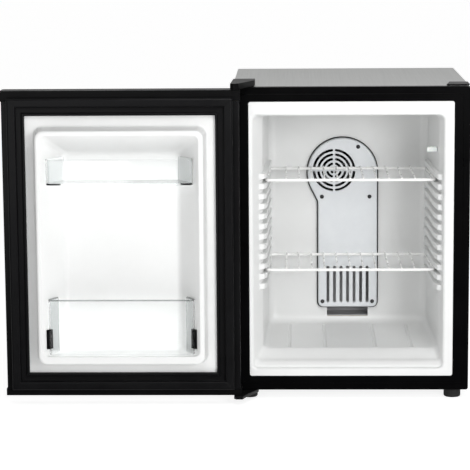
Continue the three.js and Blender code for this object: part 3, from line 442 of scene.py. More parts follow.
def wall_half(depth):
    """Half the liner's width inside, at a depth behind the frame's face."""
    if depth < flare_depth:
        return mouth_half - 12 * mm * depth / flare_depth
    return mouth_half - 12 * mm - 7 * mm * (depth - flare_depth) / (liner_depth - flare_depth)


def eased_wall(depth):
    around = [wall_half(depth + shift * mm) for shift in (-4, -2, 0, 2, 4)]
    return sum(around) / len(around)


def floor_at(depth):
    """The liner's floor: two soft steps in the mouth, then a gentle rise towards the rear."""
    if depth > flare_depth:
        return floor_height + floor_slope * (depth - flare_depth) / (liner_depth - flare_depth)
    line = [(-10, 54.5), (3, 54.5), (7, 58), (12, 64.5), (18, 65.5), (35, 77.5), (42, 81)]
    for (near, low), (far, high) in zip(line, line[1:]):
        if depth <= far * mm:
            return (low + (high - low) * (depth / mm - near) / (far - near)) * mm
    return floor_height


def eased_floor(depth):
    around = [floor_at(depth + shift * mm) for shift in (-3, -1.5, 0, 1.5, 3)]
    return sum(around) / len(around)


def rib_height(depth, height, start):
    """How far the side wall's ribs stand proud at a place on the wall, from a starting depth."""
    along = ease(depth, start, start + 6 * mm) * (1 - ease(depth, 222 * mm, 230 * mm))
    across = 0.0
    for i in range(rib_count):
        bottom = top_groove - i * groove_pitch + rib_gap / 2
        top = bottom + groove_pitch - rib_gap
        across = max(across, ease(height, bottom - 0.4 * mm, bottom + 1.3 * mm)
                     * (1 - ease(height, top - 1.3 * mm, top + 0.4 * mm)))
    return rib_proud * along * across


def groove_drop(depth, x):
    along = ease(depth, 46 * mm, 49 * mm) * (1 - ease(depth, 219 * mm, 223 * mm))
    across = 0.0
    for centre in floor_grooves:
        across = max(across, 1 - ease(abs(x - centre), floor_groove_width / 2 - 1.2 * mm,
                                      floor_groove_width / 2 + 0.6 * mm))
    return floor_groove_depth * along * across


rib_marks = []
for i in range(rib_count - 1, -1, -1):
    bottom = top_groove - i * groove_pitch + rib_gap / 2
    top = bottom + groove_pitch - rib_gap
    rib_marks += [bottom + shift * mm for shift in (-0.4, 0.0, 0.45, 0.9, 1.3)]
    rib_marks += [top + shift * mm for shift in (-1.3, -0.9, -0.45, 0.0, 0.4)]
floor_marks = []
for centre in floor_grooves:
    floor_marks += [centre + shift * mm for shift in (-3.3, -2.7, -2.1, -1.5, 0, 1.5, 2.1, 2.7, 3.3)]


def liner_ring(half, bottom, top, radius, depth, ribs=True):
    """One loop round the inside of the liner, at one depth."""
    ring = []
    shift = mouth_shift * max(0, 1 - depth / flare_depth) if ribs else 0

    def corner(x, z, first):
        for step in range(9):
            angle = math.radians(first + 90 * step / 8)
            ring.append((x + radius * math.cos(angle), z + radius * math.sin(angle)))

    for mark in floor_marks:
        ring.append((mark, bottom - (groove_drop(depth, mark) if ribs else 0)))
    corner(half - radius, bottom + radius, -90)
    for mark in rib_marks:
        ring.append((half - (rib_height(depth, mark, 12 * mm) if ribs else 0), mark))
    corner(half - radius, top - radius, 0)
    corner(-half + radius, top - radius, 90)
    for mark in reversed(rib_marks):
        ring.append((-half + (rib_height(depth, mark, 26 * mm) if ribs else 0), mark))
    corner(-half + radius, bottom + radius, 180)
    return [(middle_x + shift + x, face_y + depth, z) for x, z in ring]


flange_half = (flange_high.x - flange_low.x) / 2
rings = [liner_ring(flange_half, flange_low.z, flange_high.z, 3.5 * mm, 2.6 * mm, False),
         liner_ring(flange_half, flange_low.z, flange_high.z, 3.5 * mm, 0.7 * mm, False),
         liner_ring(flange_half - 0.4 * mm, flange_low.z + 0.4 * mm, flange_high.z - 0.4 * mm, 3.2 * mm,
                    0.3 * mm, False)]
for step in range(7):
    turn = math.radians(90 * step / 6)
    wider = mouth_roll * (1 - math.sin(turn))
    depth = 0.3 * mm + mouth_roll * (1 - math.cos(turn))
    rings.append(liner_ring(wall_half(depth) + wider, mouth_bottom - wider,
                            mouth_top + wider, liner_corner + wider / 2, depth))
flare_steps = [6, 7.5, 9, 10.5, 12, 13.5, 15, 17, 19, 21, 24, 26, 27, 28, 29, 30, 31, 32, 34, 36]
edge_steps = [38, 39, 40, 41, 42, 43, 44, 46, 47, 48, 49]
wall_steps = [60, 80, 100, 120, 140, 160, 180, 200, 212, 219, 220, 221, 222, 223, 224]
for depth in [step * mm for step in flare_steps + edge_steps + wall_steps]:
    top = mouth_top - (mouth_top - ceiling_height) * min(1, depth / flare_depth)
    rings.append(liner_ring(eased_wall(depth), eased_floor(depth), top, liner_corner, depth))
for step in range(7):
    turn = math.radians(90 * step / 6)
    inset = rear_fillet * (1 - math.cos(turn))
    depth = liner_depth - rear_fillet + rear_fillet * math.sin(turn)
    rings.append(liner_ring(wall_half(liner_depth) - inset, floor_at(liner_depth) + inset,
                            ceiling_height - inset, liner_corner, depth))
liner = through_rings("liner_shell", rings, caps=False)
back_face = bmesh.new()
back_face.from_mesh(liner.data)
back_face.verts.ensure_lookup_table()
rear_y = face_y + liner_depth - 1 * mm
rear_line = [e for e in back_face.edges if e.is_boundary and e.verts[0].co.y > rear_y]
bmesh.ops.contextual_create(back_face, geom=rear_line)
bmesh.ops.recalc_face_normals(back_face, faces=back_face.faces)
back_face.to_mesh(liner.data)
back_face.free()


def pierced(piece, cutters, name):
    """Takes prisms out of a piece. Each is an outline in x and z, from one depth to another."""
    vertices = []
    faces = []
    for outline, near, far in cutters:
        first = len(vertices)
        count = len(outline)
        vertices += [(p[0], near, p[1]) for p in outline] + [(p[0], far, p[1]) for p in outline]
        faces.append(tuple(range(first, first + count)))
        faces.append(tuple(range(first + count, first + 2 * count)))
        for i in range(count):
            j = (i + 1) % count
            faces.append((first + i, first + j, first + count + j, first + count + i))
    tool = new_piece(name, vertices, faces)
    cut = piece.modifiers.new("openings", "BOOLEAN")
    cut.operation = "DIFFERENCE"
    cut.solver = "EXACT"
    cut.object = tool
    apply_modifiers(piece)
    bpy.data.objects.remove(tool)
    return piece


def disc(x, z, radius, steps=64):
    return [(x + radius * math.cos(math.tau * i / steps), z + radius * math.sin(math.tau * i / steps))
            for i in range(steps)]


def rounded_box(x0, x1, z0, z1, radius, steps=5):
    return filleted([(x0, z0), (x1, z0), (x1, z1), (x0, z1)], radius, True, steps)


thicken = liner.modifiers.new("sheet", "SOLIDIFY")
thicken.thickness = liner_wall
thicken.offset = -1
apply_modifiers(liner)
fan_x = middle_x - 24.5 * mm
fan_z = mouth_top - 122 * mm
fan_bore = 39 * mm
cover_low, cover_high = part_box("fan_cover")
outlet_bottom = floor_height + 16 * mm
outlet_top = outlet_bottom + 18 * mm
window = (face_y + liner_depth - 2 * mm, face_y + liner_depth + 6 * mm)
pierced(liner, [(disc(fan_x, fan_z, fan_bore), *window),
                (rounded_box(middle_x - 41 * mm, middle_x + 41 * mm, cover_low.z + 9 * mm,
                             cover_low.z + 96 * mm, 4 * mm), *window),
                (rounded_box(middle_x - 37 * mm, middle_x + 37 * mm, outlet_bottom, outlet_top, 1.2 * mm),
                 *window)], "liner_windows")
white_plastic = finish("white liner plastic", (0.75, 0.755, 0.75), (0.78, 0.785, 0.78), 0.34, spread=0.06,
                       grain=(0.0016, 0.000012), patch=0.1, wear=(0.0008, 0.15),
                       worn_colour=(0.9, 0.9, 0.9), dust=0.02, specular=0.5)
fit(shade(liner, 40), "cabinet", "white_plastic", white_plastic, "inner_liner")


# ---- Cold unit ----
# A thermoelectric module of white ceramic, clamped between a cold finned block in a plastic-lined
# chamber and a hot one behind the foam. Both blocks are extruded aluminium, each with a small fan.

aluminium = finish("extruded aluminium", (0.66, 0.67, 0.68), (0.72, 0.73, 0.74), 0.4, spread=0.06,
                   grain=(0.0008, 0.000006), patch=0.03, wear=(0.0004, 0.4),
                   worn_colour=(0.85, 0.85, 0.85), dust=0.15, metallic=1.0)
ceramic = finish("white ceramic", (0.84, 0.83, 0.79), (0.80, 0.79, 0.75), 0.55, grain=(0.0006, 0.00001),
                 patch=0.01, wear=(0.0004, 0.3), worn_colour=(0.9, 0.9, 0.88), dust=0.05)
black_plastic = finish("black moulded plastic", (0.002, 0.002, 0.0022), (0.003, 0.003, 0.0033), 0.4,
                       spread=0.06, grain=(0.0006, 0.00003), patch=0.04, wear=(0.0006, 0.3),
                       worn_colour=(0.05, 0.05, 0.05), dust=0.01, specular=0.1)
# The duct lining's mid grey is partly the plastic's colour and partly painted shade: it keeps the chamber
# behind the grille dark, in place of the shade in there.
duct_plastic = finish("grey duct plastic and painted shade", (0.36, 0.36, 0.37), (0.42, 0.42, 0.43), 0.55,
                      grain=(0.001, 0.00003), patch=0.03, wear=(0.0005, 0.2), worn_colour=(0.2, 0.2, 0.2),
                      dust=0.1)
for name, cad_node, width, body, slot, material in (
        ("chamber_duct", "duct_lining", 0.3, "cabinet", "duct_plastic", duct_plastic),
        ("cold_block", "cold_heat_sink", 0.3, "cabinet", "aluminium", aluminium),
        ("hot_block", "hot_heat_sink", 0.3, "cabinet", "aluminium", aluminium),
        ("peltier_module", "thermoelectric_module", 0.3, "cabinet", "ceramic", ceramic),
        ("inner_fan_housing", "inner_fan_frame", 0.5, "cabinet", "black_plastic", black_plastic),
        ("inner_fan_blades", "inner_fan_rotor", 0.35, "inner_fan", "black_plastic", black_plastic),
        ("outer_fan_housing", "outer_fan_frame", 0.5, "cabinet", "black_plastic", black_plastic),
        ("outer_fan_blades", "outer_fan_rotor", 0.35, "outer_fan", "black_plastic", black_plastic),
        ("power_unit_case", "power_unit", 0.8, "cabinet", "black_plastic", black_plastic),
        ("inlet_socket", "mains_inlet", 0.5, "cabinet", "black_plastic", black_plastic)):
    fit(softened(name, cad_node, width * mm), body, slot, material, cad_node)


# ---- Fan cover ----
# A pale grey moulded cover on the liner's rear wall, with a round grille of slots in rings for the fan, a row
# of upright slots below it, five screws, and a black foam strip round its foot whose black also serves as
# painted shadow round the cover.

cover_front = cover_low.y
cover_back = cover_high.y
cover_half = 53.3 * mm
cover_round = 3 * mm
cover_arch = 62.7 * mm
arch_x = middle_x + cover_half - cover_arch
arch_z = fan_z - 5 * mm
taper_top = arch_z - 28 * mm
taper_bottom = taper_top - 24 * mm
arch_end = math.pi - math.asin((taper_top - arch_z) / cover_arch)
arch = [(arch_x + cover_arch * math.cos(arch_end * i / 48), arch_z + cover_arch * math.sin(arch_end * i / 48))
        for i in range(49)]
cover_line = ([Vector(p) for p in filleted(
    [(middle_x, cover_low.z), (middle_x + cover_half, cover_low.z), (middle_x + cover_half, arch_z)],
    9 * mm)][1:-1] + [Vector(p) for p in arch] + [Vector(p) for p in filleted(
        [arch[-1], (middle_x - cover_half, taper_bottom), (middle_x - cover_half, cover_low.z),
         (middle_x, cover_low.z)], [0, 6 * mm, 9 * mm, 0])][1:-1])
cover_steps = []
for step in range(7):
    turn = math.radians(90 * step / 6)
    cover_steps.append((cover_round * (1 - math.sin(turn)) + 0.5 * mm,
                        cover_front + cover_round * (1 - math.cos(turn))))
cover_steps += [(0.0, cover_back), (2.2 * mm, cover_back), (2.7 * mm, cover_front + 2.4 * mm)]
cover = through_rings("grille_cover", [[(p.x, y, p.y) for p in inset_line(cover_line, inset, True)]
                                       for inset, y in cover_steps])


def ring_slot(x, z, radius, width, first, last):
    """A slot bent along an arc, with round ends. Angles are in degrees."""
    outline = []
    for way, start, end in ((1, first, last), (-1, last, first)):
        for step in range(13):
            angle = math.radians(start + (end - start) * step / 12)
            reach = radius + way * width / 2
            outline.append((x + reach * math.cos(angle), z + reach * math.sin(angle)))
        turn = math.radians(end)
        cap_x = x + radius * math.cos(turn)
        cap_z = z + radius * math.sin(turn)
        for step in range(1, 6):
            swing = turn + (0 if way > 0 else math.pi) + math.pi * step / 6
            outline.append((cap_x + width / 2 * math.cos(swing), cap_z + width / 2 * math.sin(swing)))
    return outline


slots = []
through = (cover_front - 3 * mm, cover_front + 6 * mm)
slot_width = 4.4 * mm
for radius in (5 * mm, 12 * mm, 20 * mm, 28 * mm, 36 * mm):
    spared = min(38, math.degrees(math.asin(min(1, (1.6 * mm + slot_width / 2) / radius))))
    for quarter in range(4):
        slots.append((ring_slot(fan_x, fan_z, radius, slot_width, 90 * quarter + spared,
                                90 * quarter + 90 - spared), *through))
vent_count = 7
vent_pitch = 11.8 * mm
vent_half = 2.6 * mm
for i in range(vent_count):
    x = middle_x + (i - (vent_count - 1) / 2) * vent_pitch
    slots.append((rounded_box(x - vent_half, x + vent_half, cover_low.z + 9 * mm, cover_low.z + 76 * mm,
                              2.4 * mm), *through))
screw_places = [(arch_x + 28 * mm, arch_z + 47 * mm)]
for x, z in ((-46.3, taper_bottom + 9 * mm), (39.3, taper_bottom + 9 * mm), (-45.3, cover_low.z + 11 * mm),
             (44.3, cover_low.z + 11 * mm)):
    screw_places.append((middle_x + x * mm, z))
slots += [(disc(x, z, 1.8 * mm, 16), *through) for x, z in screw_places]
pierced(cover, slots, "cover_slots")
cover_plastic = finish("pale grey plastic", (0.66, 0.68, 0.70), (0.70, 0.72, 0.735), 0.45, spread=0.05,
                       grain=(0.0009, 0.00003), patch=0.05, wear=(0.0006, 0.2),
                       worn_colour=(0.8, 0.8, 0.8), dust=0.03)
fit(round_edges(cover, 0.35 * mm, 2, 40), "cabinet", "cover_plastic", cover_plastic, "fan_cover")

# A black foam strip, pressed on round the cover's foot. Its black also stands in as painted shadow for the
# dark gap line round the cover
strip_profile = [(-0.3, 0), (-0.3, 2.4), (-0.6, 2.9), (-1.0, 3.0), (-1.5, 2.9), (-1.8, 2.4), (-1.8, 0)]
strip = through_rings("cover_foam_and_shadow_strip", [
    [(p.x, cover_back - rise * mm, p.y) for p in inset_line(cover_line, inset * mm, True)]
    for inset, rise in strip_profile], caps=False, looped=True)
seal_foam = finish("black foam strip and painted shadow", (0.004, 0.004, 0.004), (0.007, 0.007, 0.007), 0.85,
                   grain=(0.0006, 0.00005), patch=0.02, wear=(0.0005, 0.2), worn_colour=(0.02, 0.02, 0.02),
                   dust=0.03, specular=0.1)
fit(shade(strip, 50), "cabinet", "seal_foam", seal_foam, "cover_seal")


def turned_piece(name, profile, steps=32):
    """A round piece about z, from points of radius and height; ends on the axis are closed."""
    rings = []
    for radius, height in profile:
        rings.append([(max(radius, 1e-7) * math.cos(math.tau * i / steps),
                       max(radius, 1e-7) * math.sin(math.tau * i / steps), height) for i in range(steps)])
    piece = through_rings(name, rings, caps=False)
    made = bmesh.new()
    made.from_mesh(piece.data)
    bmesh.ops.remove_doubles(made, verts=made.verts, dist=2e-6)
    bmesh.ops.recalc_face_normals(made, faces=made.faces)
    made.to_mesh(piece.data)
    made.free()
    return piece


def cross_screw(name, radius, height, shank, shank_radius):
    """A domed screw with a cross recess. Its head stands up from z = 0."""
    head = turned_piece(name, [(0, -shank), (shank_radius * 0.5, -shank), (shank_radius, -shank * 0.8),
                               (shank_radius, -0.01 * mm), (radius, 0), (radius, height * 0.25),
                               (radius * 0.93, height * 0.6), (radius * 0.72, height * 0.88),
                               (radius * 0.4, height), (0, height)])
    arm = radius * 0.52
    width = radius * 0.13
    cross = [(arm, -width), (arm, width), (width, width), (width, arm), (-width, arm), (-width, width),
             (-arm, width), (-arm, -width), (-width, -width), (-width, -arm), (width, -arm), (width, -width)]
    deep = [(x * 0.6, y * 0.6, height * 0.35) for x, y in cross]
    tool = through_rings(name + "_driver", [[(x, y, height * 1.2) for x, y in cross], deep])
    cut = head.modifiers.new("recess", "BOOLEAN")
    cut.solver = "EXACT"
    cut.object = tool
    apply_modifiers(head)
    bpy.data.objects.remove(tool)
    return shade(head, 30)


screw_black = finish("black oxide steel", (0.016, 0.016, 0.017), (0.03, 0.03, 0.03), 0.36, spread=0.08,
                     grain=(0.0004, 0.000006), patch=0.004, wear=(0.0003, 0.5),
                     worn_colour=(0.2, 0.2, 0.2), dust=0.02, metallic=0.3)
for i, (x, z) in enumerate(screw_places):
    screw = cross_screw(f"cover_screw_{i + 1}", 3.6 * mm, 2.0 * mm, 11 * mm, 1.4 * mm)
    turn = Matrix.Rotation(math.radians(17 + 41 * i), 4, "Z")
    screw.data.transform(Matrix.Translation((x, cover_front - 0.3 * mm, z))
                         @ Matrix.Rotation(math.radians(90), 4, "X") @ turn)
    fit(screw, "cabinet", "screw_black", screw_black, f"fan_cover_screw_{i + 1}")


# ---- Lamp ----
# A small milky diffuser, clipped high into the right wall of the liner over the lamp itself.

lamp_plastic = finish("milky diffuser", (0.88, 0.88, 0.86), (0.9, 0.9, 0.88), 0.28,
                      grain=(0.0012, 0.00001), patch=0.01, wear=(0.0005, 0.2), worn_colour=(0.95, 0.95, 0.95),
                      dust=0.02, subsurface=0.2)
fit(softened("lamp_diffuser", "wall_lamp", 1.6 * mm, 4), "cabinet", "lamp_plastic", lamp_plastic, "wall_lamp")


# ---- Wire shelves ----
# Steel wire, bent to a loop that narrows to the back, with thinner slats welded across it. The
# whole shelf is dipped in white plastic, and slides in over the liner's ribs.

def round_wire(path, radius, closed=False, sides=12):
    """Vertices and faces of a round wire along a path of points."""
    count = len(path)
    rings = []
    side = None
    for i, point in enumerate(path):
        before = path[i - 1] if closed or i > 0 else point
        after = path[(i + 1) % count] if closed or i < count - 1 else point
        run = (Vector(after) - Vector(before)).normalized()
        if side is None:
            side = run.orthogonal().normalized()
        side = (side - run * side.dot(run)).normalized()
        other = run.cross(side)
        rings.append((Vector(point), side, other, run, 1.0))
    if not closed:
        start = rings[0]
        end = rings[-1]
        turns = (0.0, 0.5, 1.0, math.pi / 2)
        nose = [(start[0] + start[3] * radius * (1 - math.cos(a)), *start[1:4], max(0.02, math.sin(a)))
                for a in turns]
        tail = [(end[0] - end[3] * radius * (1 - math.cos(a)), *end[1:4], max(0.02, math.sin(a)))
                for a in reversed(turns)]
        rings = nose + rings[1:-1] + tail
    vertices = []
    for point, u, v, _, size in rings:
        for k in range(sides):
            angle = math.tau * k / sides
            vertices.append(point + (u * math.cos(angle) + v * math.sin(angle)) * radius * size)
    faces = []
    for r in range(len(rings) if closed else len(rings) - 1):
        near = r * sides
        far = (r + 1) % len(rings) * sides
        for k in range(sides):
            j = (k + 1) % sides
            faces.append((near + k, near + j, far + j, far + k))
    if not closed:
        faces.append(tuple(range(sides)))
        faces.append(tuple(range(len(vertices) - sides, len(vertices))))
    return vertices, faces


def gathered(name, parts):
    """One mesh from several sets of vertices and faces."""
    vertices = []
    faces = []
    for points, polygons in parts:
        first = len(vertices)
        vertices += points
        faces += [tuple(i + first for i in polygon) for polygon in polygons]
    return new_piece(name, vertices, faces)


white_wire = finish("white dipped wire", (0.84, 0.84, 0.83), (0.87, 0.87, 0.86), 0.28, spread=0.06,
                    grain=(0.002, 0.00002), patch=0.03, wear=(0.0006, 0.1), worn_colour=(0.9, 0.9, 0.9),
                    dust=0.03, coat=0.2)
wire = 2.5 * mm
wire_bend = 9 * mm
slat = 1.5 * mm
slat_pitch = 22 * mm
slats_each_side = 5
for level in ("upper", "lower"):
    low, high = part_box(f"{level}_shelf")
    wire_z = low.z + wire
    front_half = (high.x - low.x) / 2 - wire
    rear_half = wall_half(high.y - face_y - wire) - 5.5 * mm
    front_y = low.y + wire
    rear_y = high.y - wire
    loop = filleted([(middle_x - front_half, front_y, wire_z), (middle_x + front_half, front_y, wire_z),
                     (middle_x + rear_half, rear_y, wire_z), (middle_x - rear_half, rear_y, wire_z)],
                    wire_bend, True, 8)
    parts = [round_wire(loop, wire, True, 16)]
    for i in range(-slats_each_side, slats_each_side + 1):
        x = middle_x + i * slat_pitch
        slat_z = high.z - slat
        ends = [(x, low.y + 0.3 * mm, slat_z - 1.2 * mm), (x, low.y + 3 * mm, slat_z),
                (x, high.y - 3 * mm, slat_z), (x, high.y - 0.3 * mm, slat_z - 0.6 * mm)]
        parts.append(round_wire([Vector(p) for p in ends], slat, False, 12))
    shelf = gathered(f"{level}_wire_shelf", parts)
    fit(shade(shelf, 50), f"{level}_shelf", "white_wire", white_wire, f"{level}_shelf")


# ---- Hinges and spare hinge cap ----
# Zinc plated brackets and pins carry the door at its two left corners. A moulded black cover
# hides the upper one, and a low cap the holes where the door could be hung on the right.

for name, cad_node, width, slot, material in (
        ("upper_bracket", "upper_hinge_bracket", 0.4, "zinc_steel", zinc_steel),
        ("upper_pin", "upper_hinge_pin", 0.4, "zinc_steel", zinc_steel),
        ("lower_bracket", "lower_hinge_bracket", 0.7, "black_paint", black_paint),
        ("lower_pin", "lower_hinge_pin", 0.4, "zinc_steel", zinc_steel),
        ("hinge_cover", "upper_hinge_cover", 1.4, "black_plastic", black_plastic),
        ("spare_hinge_cap", "hinge_hole_cap", 0.8, "black_plastic", black_plastic)):
    fit(softened(name, cad_node, width * mm, 3), "cabinet", slot, material, cad_node)
for i in (1, 2):
    low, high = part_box(f"upper_hinge_screw_{i}")
    screw = cross_screw(f"bracket_screw_{i}", 4 * mm, 2.2 * mm, 2.2 * mm, 1.9 * mm)
    screw.data.transform(Matrix.Translation(((low.x + high.x) / 2, (low.y + high.y) / 2, high.z - 2.2 * mm))
                         @ Matrix.Rotation(math.radians(30 * i), 4, "Z"))
    fit(screw, "cabinet", "zinc_steel", zinc_steel, f"upper_hinge_screw_{i}")


# ---- Feet ----
# Four black rubber feet, turned up by hand on their threads to level the cabinet; each has a
# soft lower edge and grip flutes round its rim.

foot_rubber = finish("black foot rubber", (0.014, 0.014, 0.014), (0.02, 0.02, 0.02), 0.7, spread=0.08,
                     grain=(0.0009, 0.00004), patch=0.01, wear=(0.0008, 0.3),
                     worn_colour=(0.06, 0.06, 0.06), dust=0.2, specular=0.3)
for place in ("front_foot_left", "front_foot_right", "rear_foot_left", "rear_foot_right"):
    low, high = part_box(place)
    tall = high.z - low.z
    wide = (high.x - low.x) / 2
    profile = [(0, 0), (wide - 5 * mm, 0), (wide - 4.4 * mm, 0.5 * mm), (wide - 3.6 * mm, 0.5 * mm),
               (wide - 3 * mm, 0), (wide - 1.6 * mm, 0.1 * mm), (wide - 0.7 * mm, 0.8 * mm),
               (wide - 0.2 * mm, 2 * mm), (wide, 3.5 * mm), (wide, tall - 1.2 * mm),
               (wide - 0.4 * mm, tall - 0.4 * mm), (wide - 1.2 * mm, tall), (0, tall)]
    foot = turned_piece(place + "_pad", profile, 96)
    for vertex in foot.data.vertices:
        reach = math.hypot(vertex.co.x, vertex.co.y)
        if reach > wide - 0.5 * mm and 3 * mm < vertex.co.z < tall - 0.8 * mm:
            flute = 0.45 * mm * (0.5 - 0.5 * math.cos(24 * math.atan2(vertex.co.y, vertex.co.x)))
            vertex.co.x *= 1 - flute / reach
            vertex.co.y *= 1 - flute / reach
    foot.data.transform(Matrix.Translation(((low.x + high.x) / 2, (low.y + high.y) / 2, low.z)))
    fit(shade(foot, 40), "cabinet", "foot_rubber", foot_rubber, place)


# ---- Door shell ----
# A black painted steel sheet folded round the door's face and sides, between two moulded end
# caps with the hinge bushes in them, and filled with the same foam as the cabinet.

skin_low, skin_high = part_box("door_skin")
door_hem = 14 * mm
skin_line = filleted([(skin_high.x - door_hem, skin_low.y), (skin_high.x, skin_low.y),
                      (skin_high.x, skin_high.y), (skin_low.x, skin_high.y), (skin_low.x, skin_low.y),
                      (skin_low.x + door_hem, skin_low.y)], [0, 1.6 * mm, 3 * mm, 3 * mm, 1.6 * mm, 0])
skin = folded_sheet("door_sheet", skin_line, 1.2 * mm, skin_low.z, skin_high.z,
                    lambda p, run: (p.x, p.y, run))
fit(round_edges(skin, 0.25 * mm), "door", "black_paint", black_paint, "door_skin")
bush_plastic = finish("natural nylon", (0.78, 0.77, 0.72), (0.82, 0.81, 0.77), 0.42,
                      grain=(0.0006, 0.00001), patch=0.01, wear=(0.0004, 0.2),
                      worn_colour=(0.9, 0.9, 0.88), dust=0.05, subsurface=0.1)
for name, cad_node, width, slot, material in (
        ("door_top_moulding", "door_top_cap", 0.9, "black_plastic", black_plastic),
        ("door_bottom_moulding", "door_bottom_cap", 0.9, "black_plastic", black_plastic),
        ("door_foam_block", "door_foam", 1.0, "foam", foam),
        ("upper_bush", "door_upper_bush", 0.3, "bush_plastic", bush_plastic),
        ("lower_bush", "door_lower_bush", 0.3, "bush_plastic", bush_plastic)):
    fit(softened(name, cad_node, width * mm, 3), "door", slot, material, cad_node)


# ---- Door liner ----
# White sheet drawn by vacuum like the cabinet's, with a raised ring that reaches into the mouth
# and keeps the cold in, and a pocket inside the ring whose top and sides slope.

rim_low, rim_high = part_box("door_liner")
door_x = (rim_low.x + rim_high.x) / 2
door_face_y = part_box("door_gasket")[1].y + 0.3 * mm
rim_inset = 14 * mm
door_bottom = rim_low.z - rim_inset
door_top = rim_high.z + rim_inset


def door_ring(half, bottom, top, radius, out_by):
    """One rounded loop of the door's liner, at a distance out from its inner plane."""
    line = rounded_box(door_x - half, door_x + half, door_bottom + bottom, door_top - top, radius, 8)
    return [(p.x, door_face_y - out_by, p.y) for p in line]


# Sizes of the ring and the pocket in millimetres: halves of their widths, and distances from the
# door's bottom and top edges
ring_half = 143
ring_bottom = 58
ring_top = 60
ring_rise = 34
ring_foot = 3.5
ring_round = 4.5
ring_draft = 3
pocket_mouth = 131
pocket_bottom = 75
pocket_top = 72
pocket_round = 1.8
pocket_slope = 34
pocket_drop = 52
steps = [(186, 14, 14, 5, -1.4), (185.7, 14.3, 14.3, 4.7, -0.3), (185, 15, 15, 4, 0)]
for turn in (0, 22, 45, 68, 90):
    a = math.radians(turn)
    away = ring_foot * (1 - math.sin(a))
    steps.append((ring_half + away, ring_bottom - away, ring_top - away, 14 + away / 2,
                  ring_foot * (1 - math.cos(a))))
for turn in (0, 18, 36, 54, 72, 90):
    a = math.radians(turn)
    back = ring_draft + ring_round * (1 - math.cos(a))
    steps.append((ring_half - back, ring_bottom + back, ring_top + back, 14,
                  ring_rise - ring_round * (1 - math.sin(a))))
for turn in (0, 22, 45, 68, 90):
    a = math.radians(turn)
    over = pocket_round * (1 - math.sin(a))
    steps.append((pocket_mouth + over, pocket_bottom - over, pocket_top - over, 10,
                  ring_rise - pocket_round * (1 - math.cos(a))))
for share, more in ((0.1, 0), (0.5, 0), (0.86, 0), (0.92, 0.4), (0.965, 1.6), (0.99, 3.4), (1.0, 6.0)):
    slope = pocket_slope * share
    steps.append((pocket_mouth - slope - more, pocket_bottom + more, pocket_top + slope + more, 10,
                  ring_rise - pocket_drop * share))
door_liner = through_rings("door_liner_shell", [
    door_ring(half * mm, bottom * mm, top * mm, radius * mm, out_by * mm)
    for half, bottom, top, radius, out_by in steps], caps=False)
closing = bmesh.new()
closing.from_mesh(door_liner.data)
inner_line = [e for e in closing.edges if e.is_boundary and e.verts[0].co.y > door_face_y + 10 * mm]
bmesh.ops.contextual_create(closing, geom=inner_line)
bmesh.ops.recalc_face_normals(closing, faces=closing.faces)
closing.to_mesh(door_liner.data)
closing.free()
thicken = door_liner.modifiers.new("sheet", "SOLIDIFY")
thicken.thickness = 1.6 * mm
thicken.offset = -1
apply_modifiers(door_liner)
fit(shade(door_liner, 40), "door", "white_plastic", white_plastic, "door_liner")


# ---- Door seal ----
# An extruded soft vinyl gasket with a magnet strip in its flat band, bellows at its side and a
# thin inner lip. It is cut at 45 degrees, welded at the corners and pressed in under the liner.

seal_low, seal_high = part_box("door_gasket")
seal_x = (seal_low.x + seal_high.x) / 2
seal_half = (seal_high.x - seal_low.x) / 2
seal_profile = [(0.6, 0.3), (0.2, 2.6), (1.5, 4.2), (1.5, 5.0), (0.2, 6.4), (0, 8.2), (0.3, 9.6), (1.1, 10.8),
                (2.4, 11.5), (3.4, 11.7), (8, 11.6), (12.4, 11.7), (13.6, 11.4), (14.4, 10.6), (14.7, 9.4),
                (14.6, 4.6), (15.1, 3.4), (16, 2.9), (23.4, 2.7), (24.2, 3.2), (24.6, 4.4), (24.7, 6.6),
                (25.4, 7.6), (26.4, 7.9), (28.2, 7.6), (29, 6.8), (29.2, 5.4), (29, 0.3)]
seal_rings = []
for inset, out_by in seal_profile:
    inset *= mm
    depth = seal_high.y + 0.3 * mm - out_by * mm
    ring = []
    for side_x, side_z in ((1, -1), (1, 1), (-1, 1), (-1, -1)):
        x = seal_x + side_x * (seal_half - inset)
        z = (seal_high.z - inset) if side_z > 0 else (seal_low.z + inset)
        notch = 0.9 * mm
        sunk = 0.35 * mm if out_by > 3 else 0
        before = (x - side_x * notch, depth, z) if side_x * side_z < 0 else (x, depth, z - side_z * notch)
        after = (x, depth, z - side_z * notch) if side_x * side_z < 0 else (x - side_x * notch, depth, z)
        ring += [before, (x, depth + sunk, z), after]
    seal_rings.append(ring)
seal = through_rings("magnetic_seal", seal_rings, caps=False, looped=True)
seal_rubber = finish("dark grey vinyl", (0.004, 0.004, 0.0045), (0.006, 0.006, 0.0065), 0.36, spread=0.06,
                     grain=(0.0012, 0.00002), patch=0.06, wear=(0.0008, 0.2),
                     worn_colour=(0.03, 0.03, 0.032), dust=0.006, specular=0.12)
fit(shade(seal, 50), "door", "gasket_rubber", seal_rubber, "door_gasket")


# ---- Clear trays and clips ----
# Injection moulded clear styrene: a guard with a beaded rim in front of the bottles, and a tray
# with a floor at the top. Two black clips lock the guard to the liner's ring.


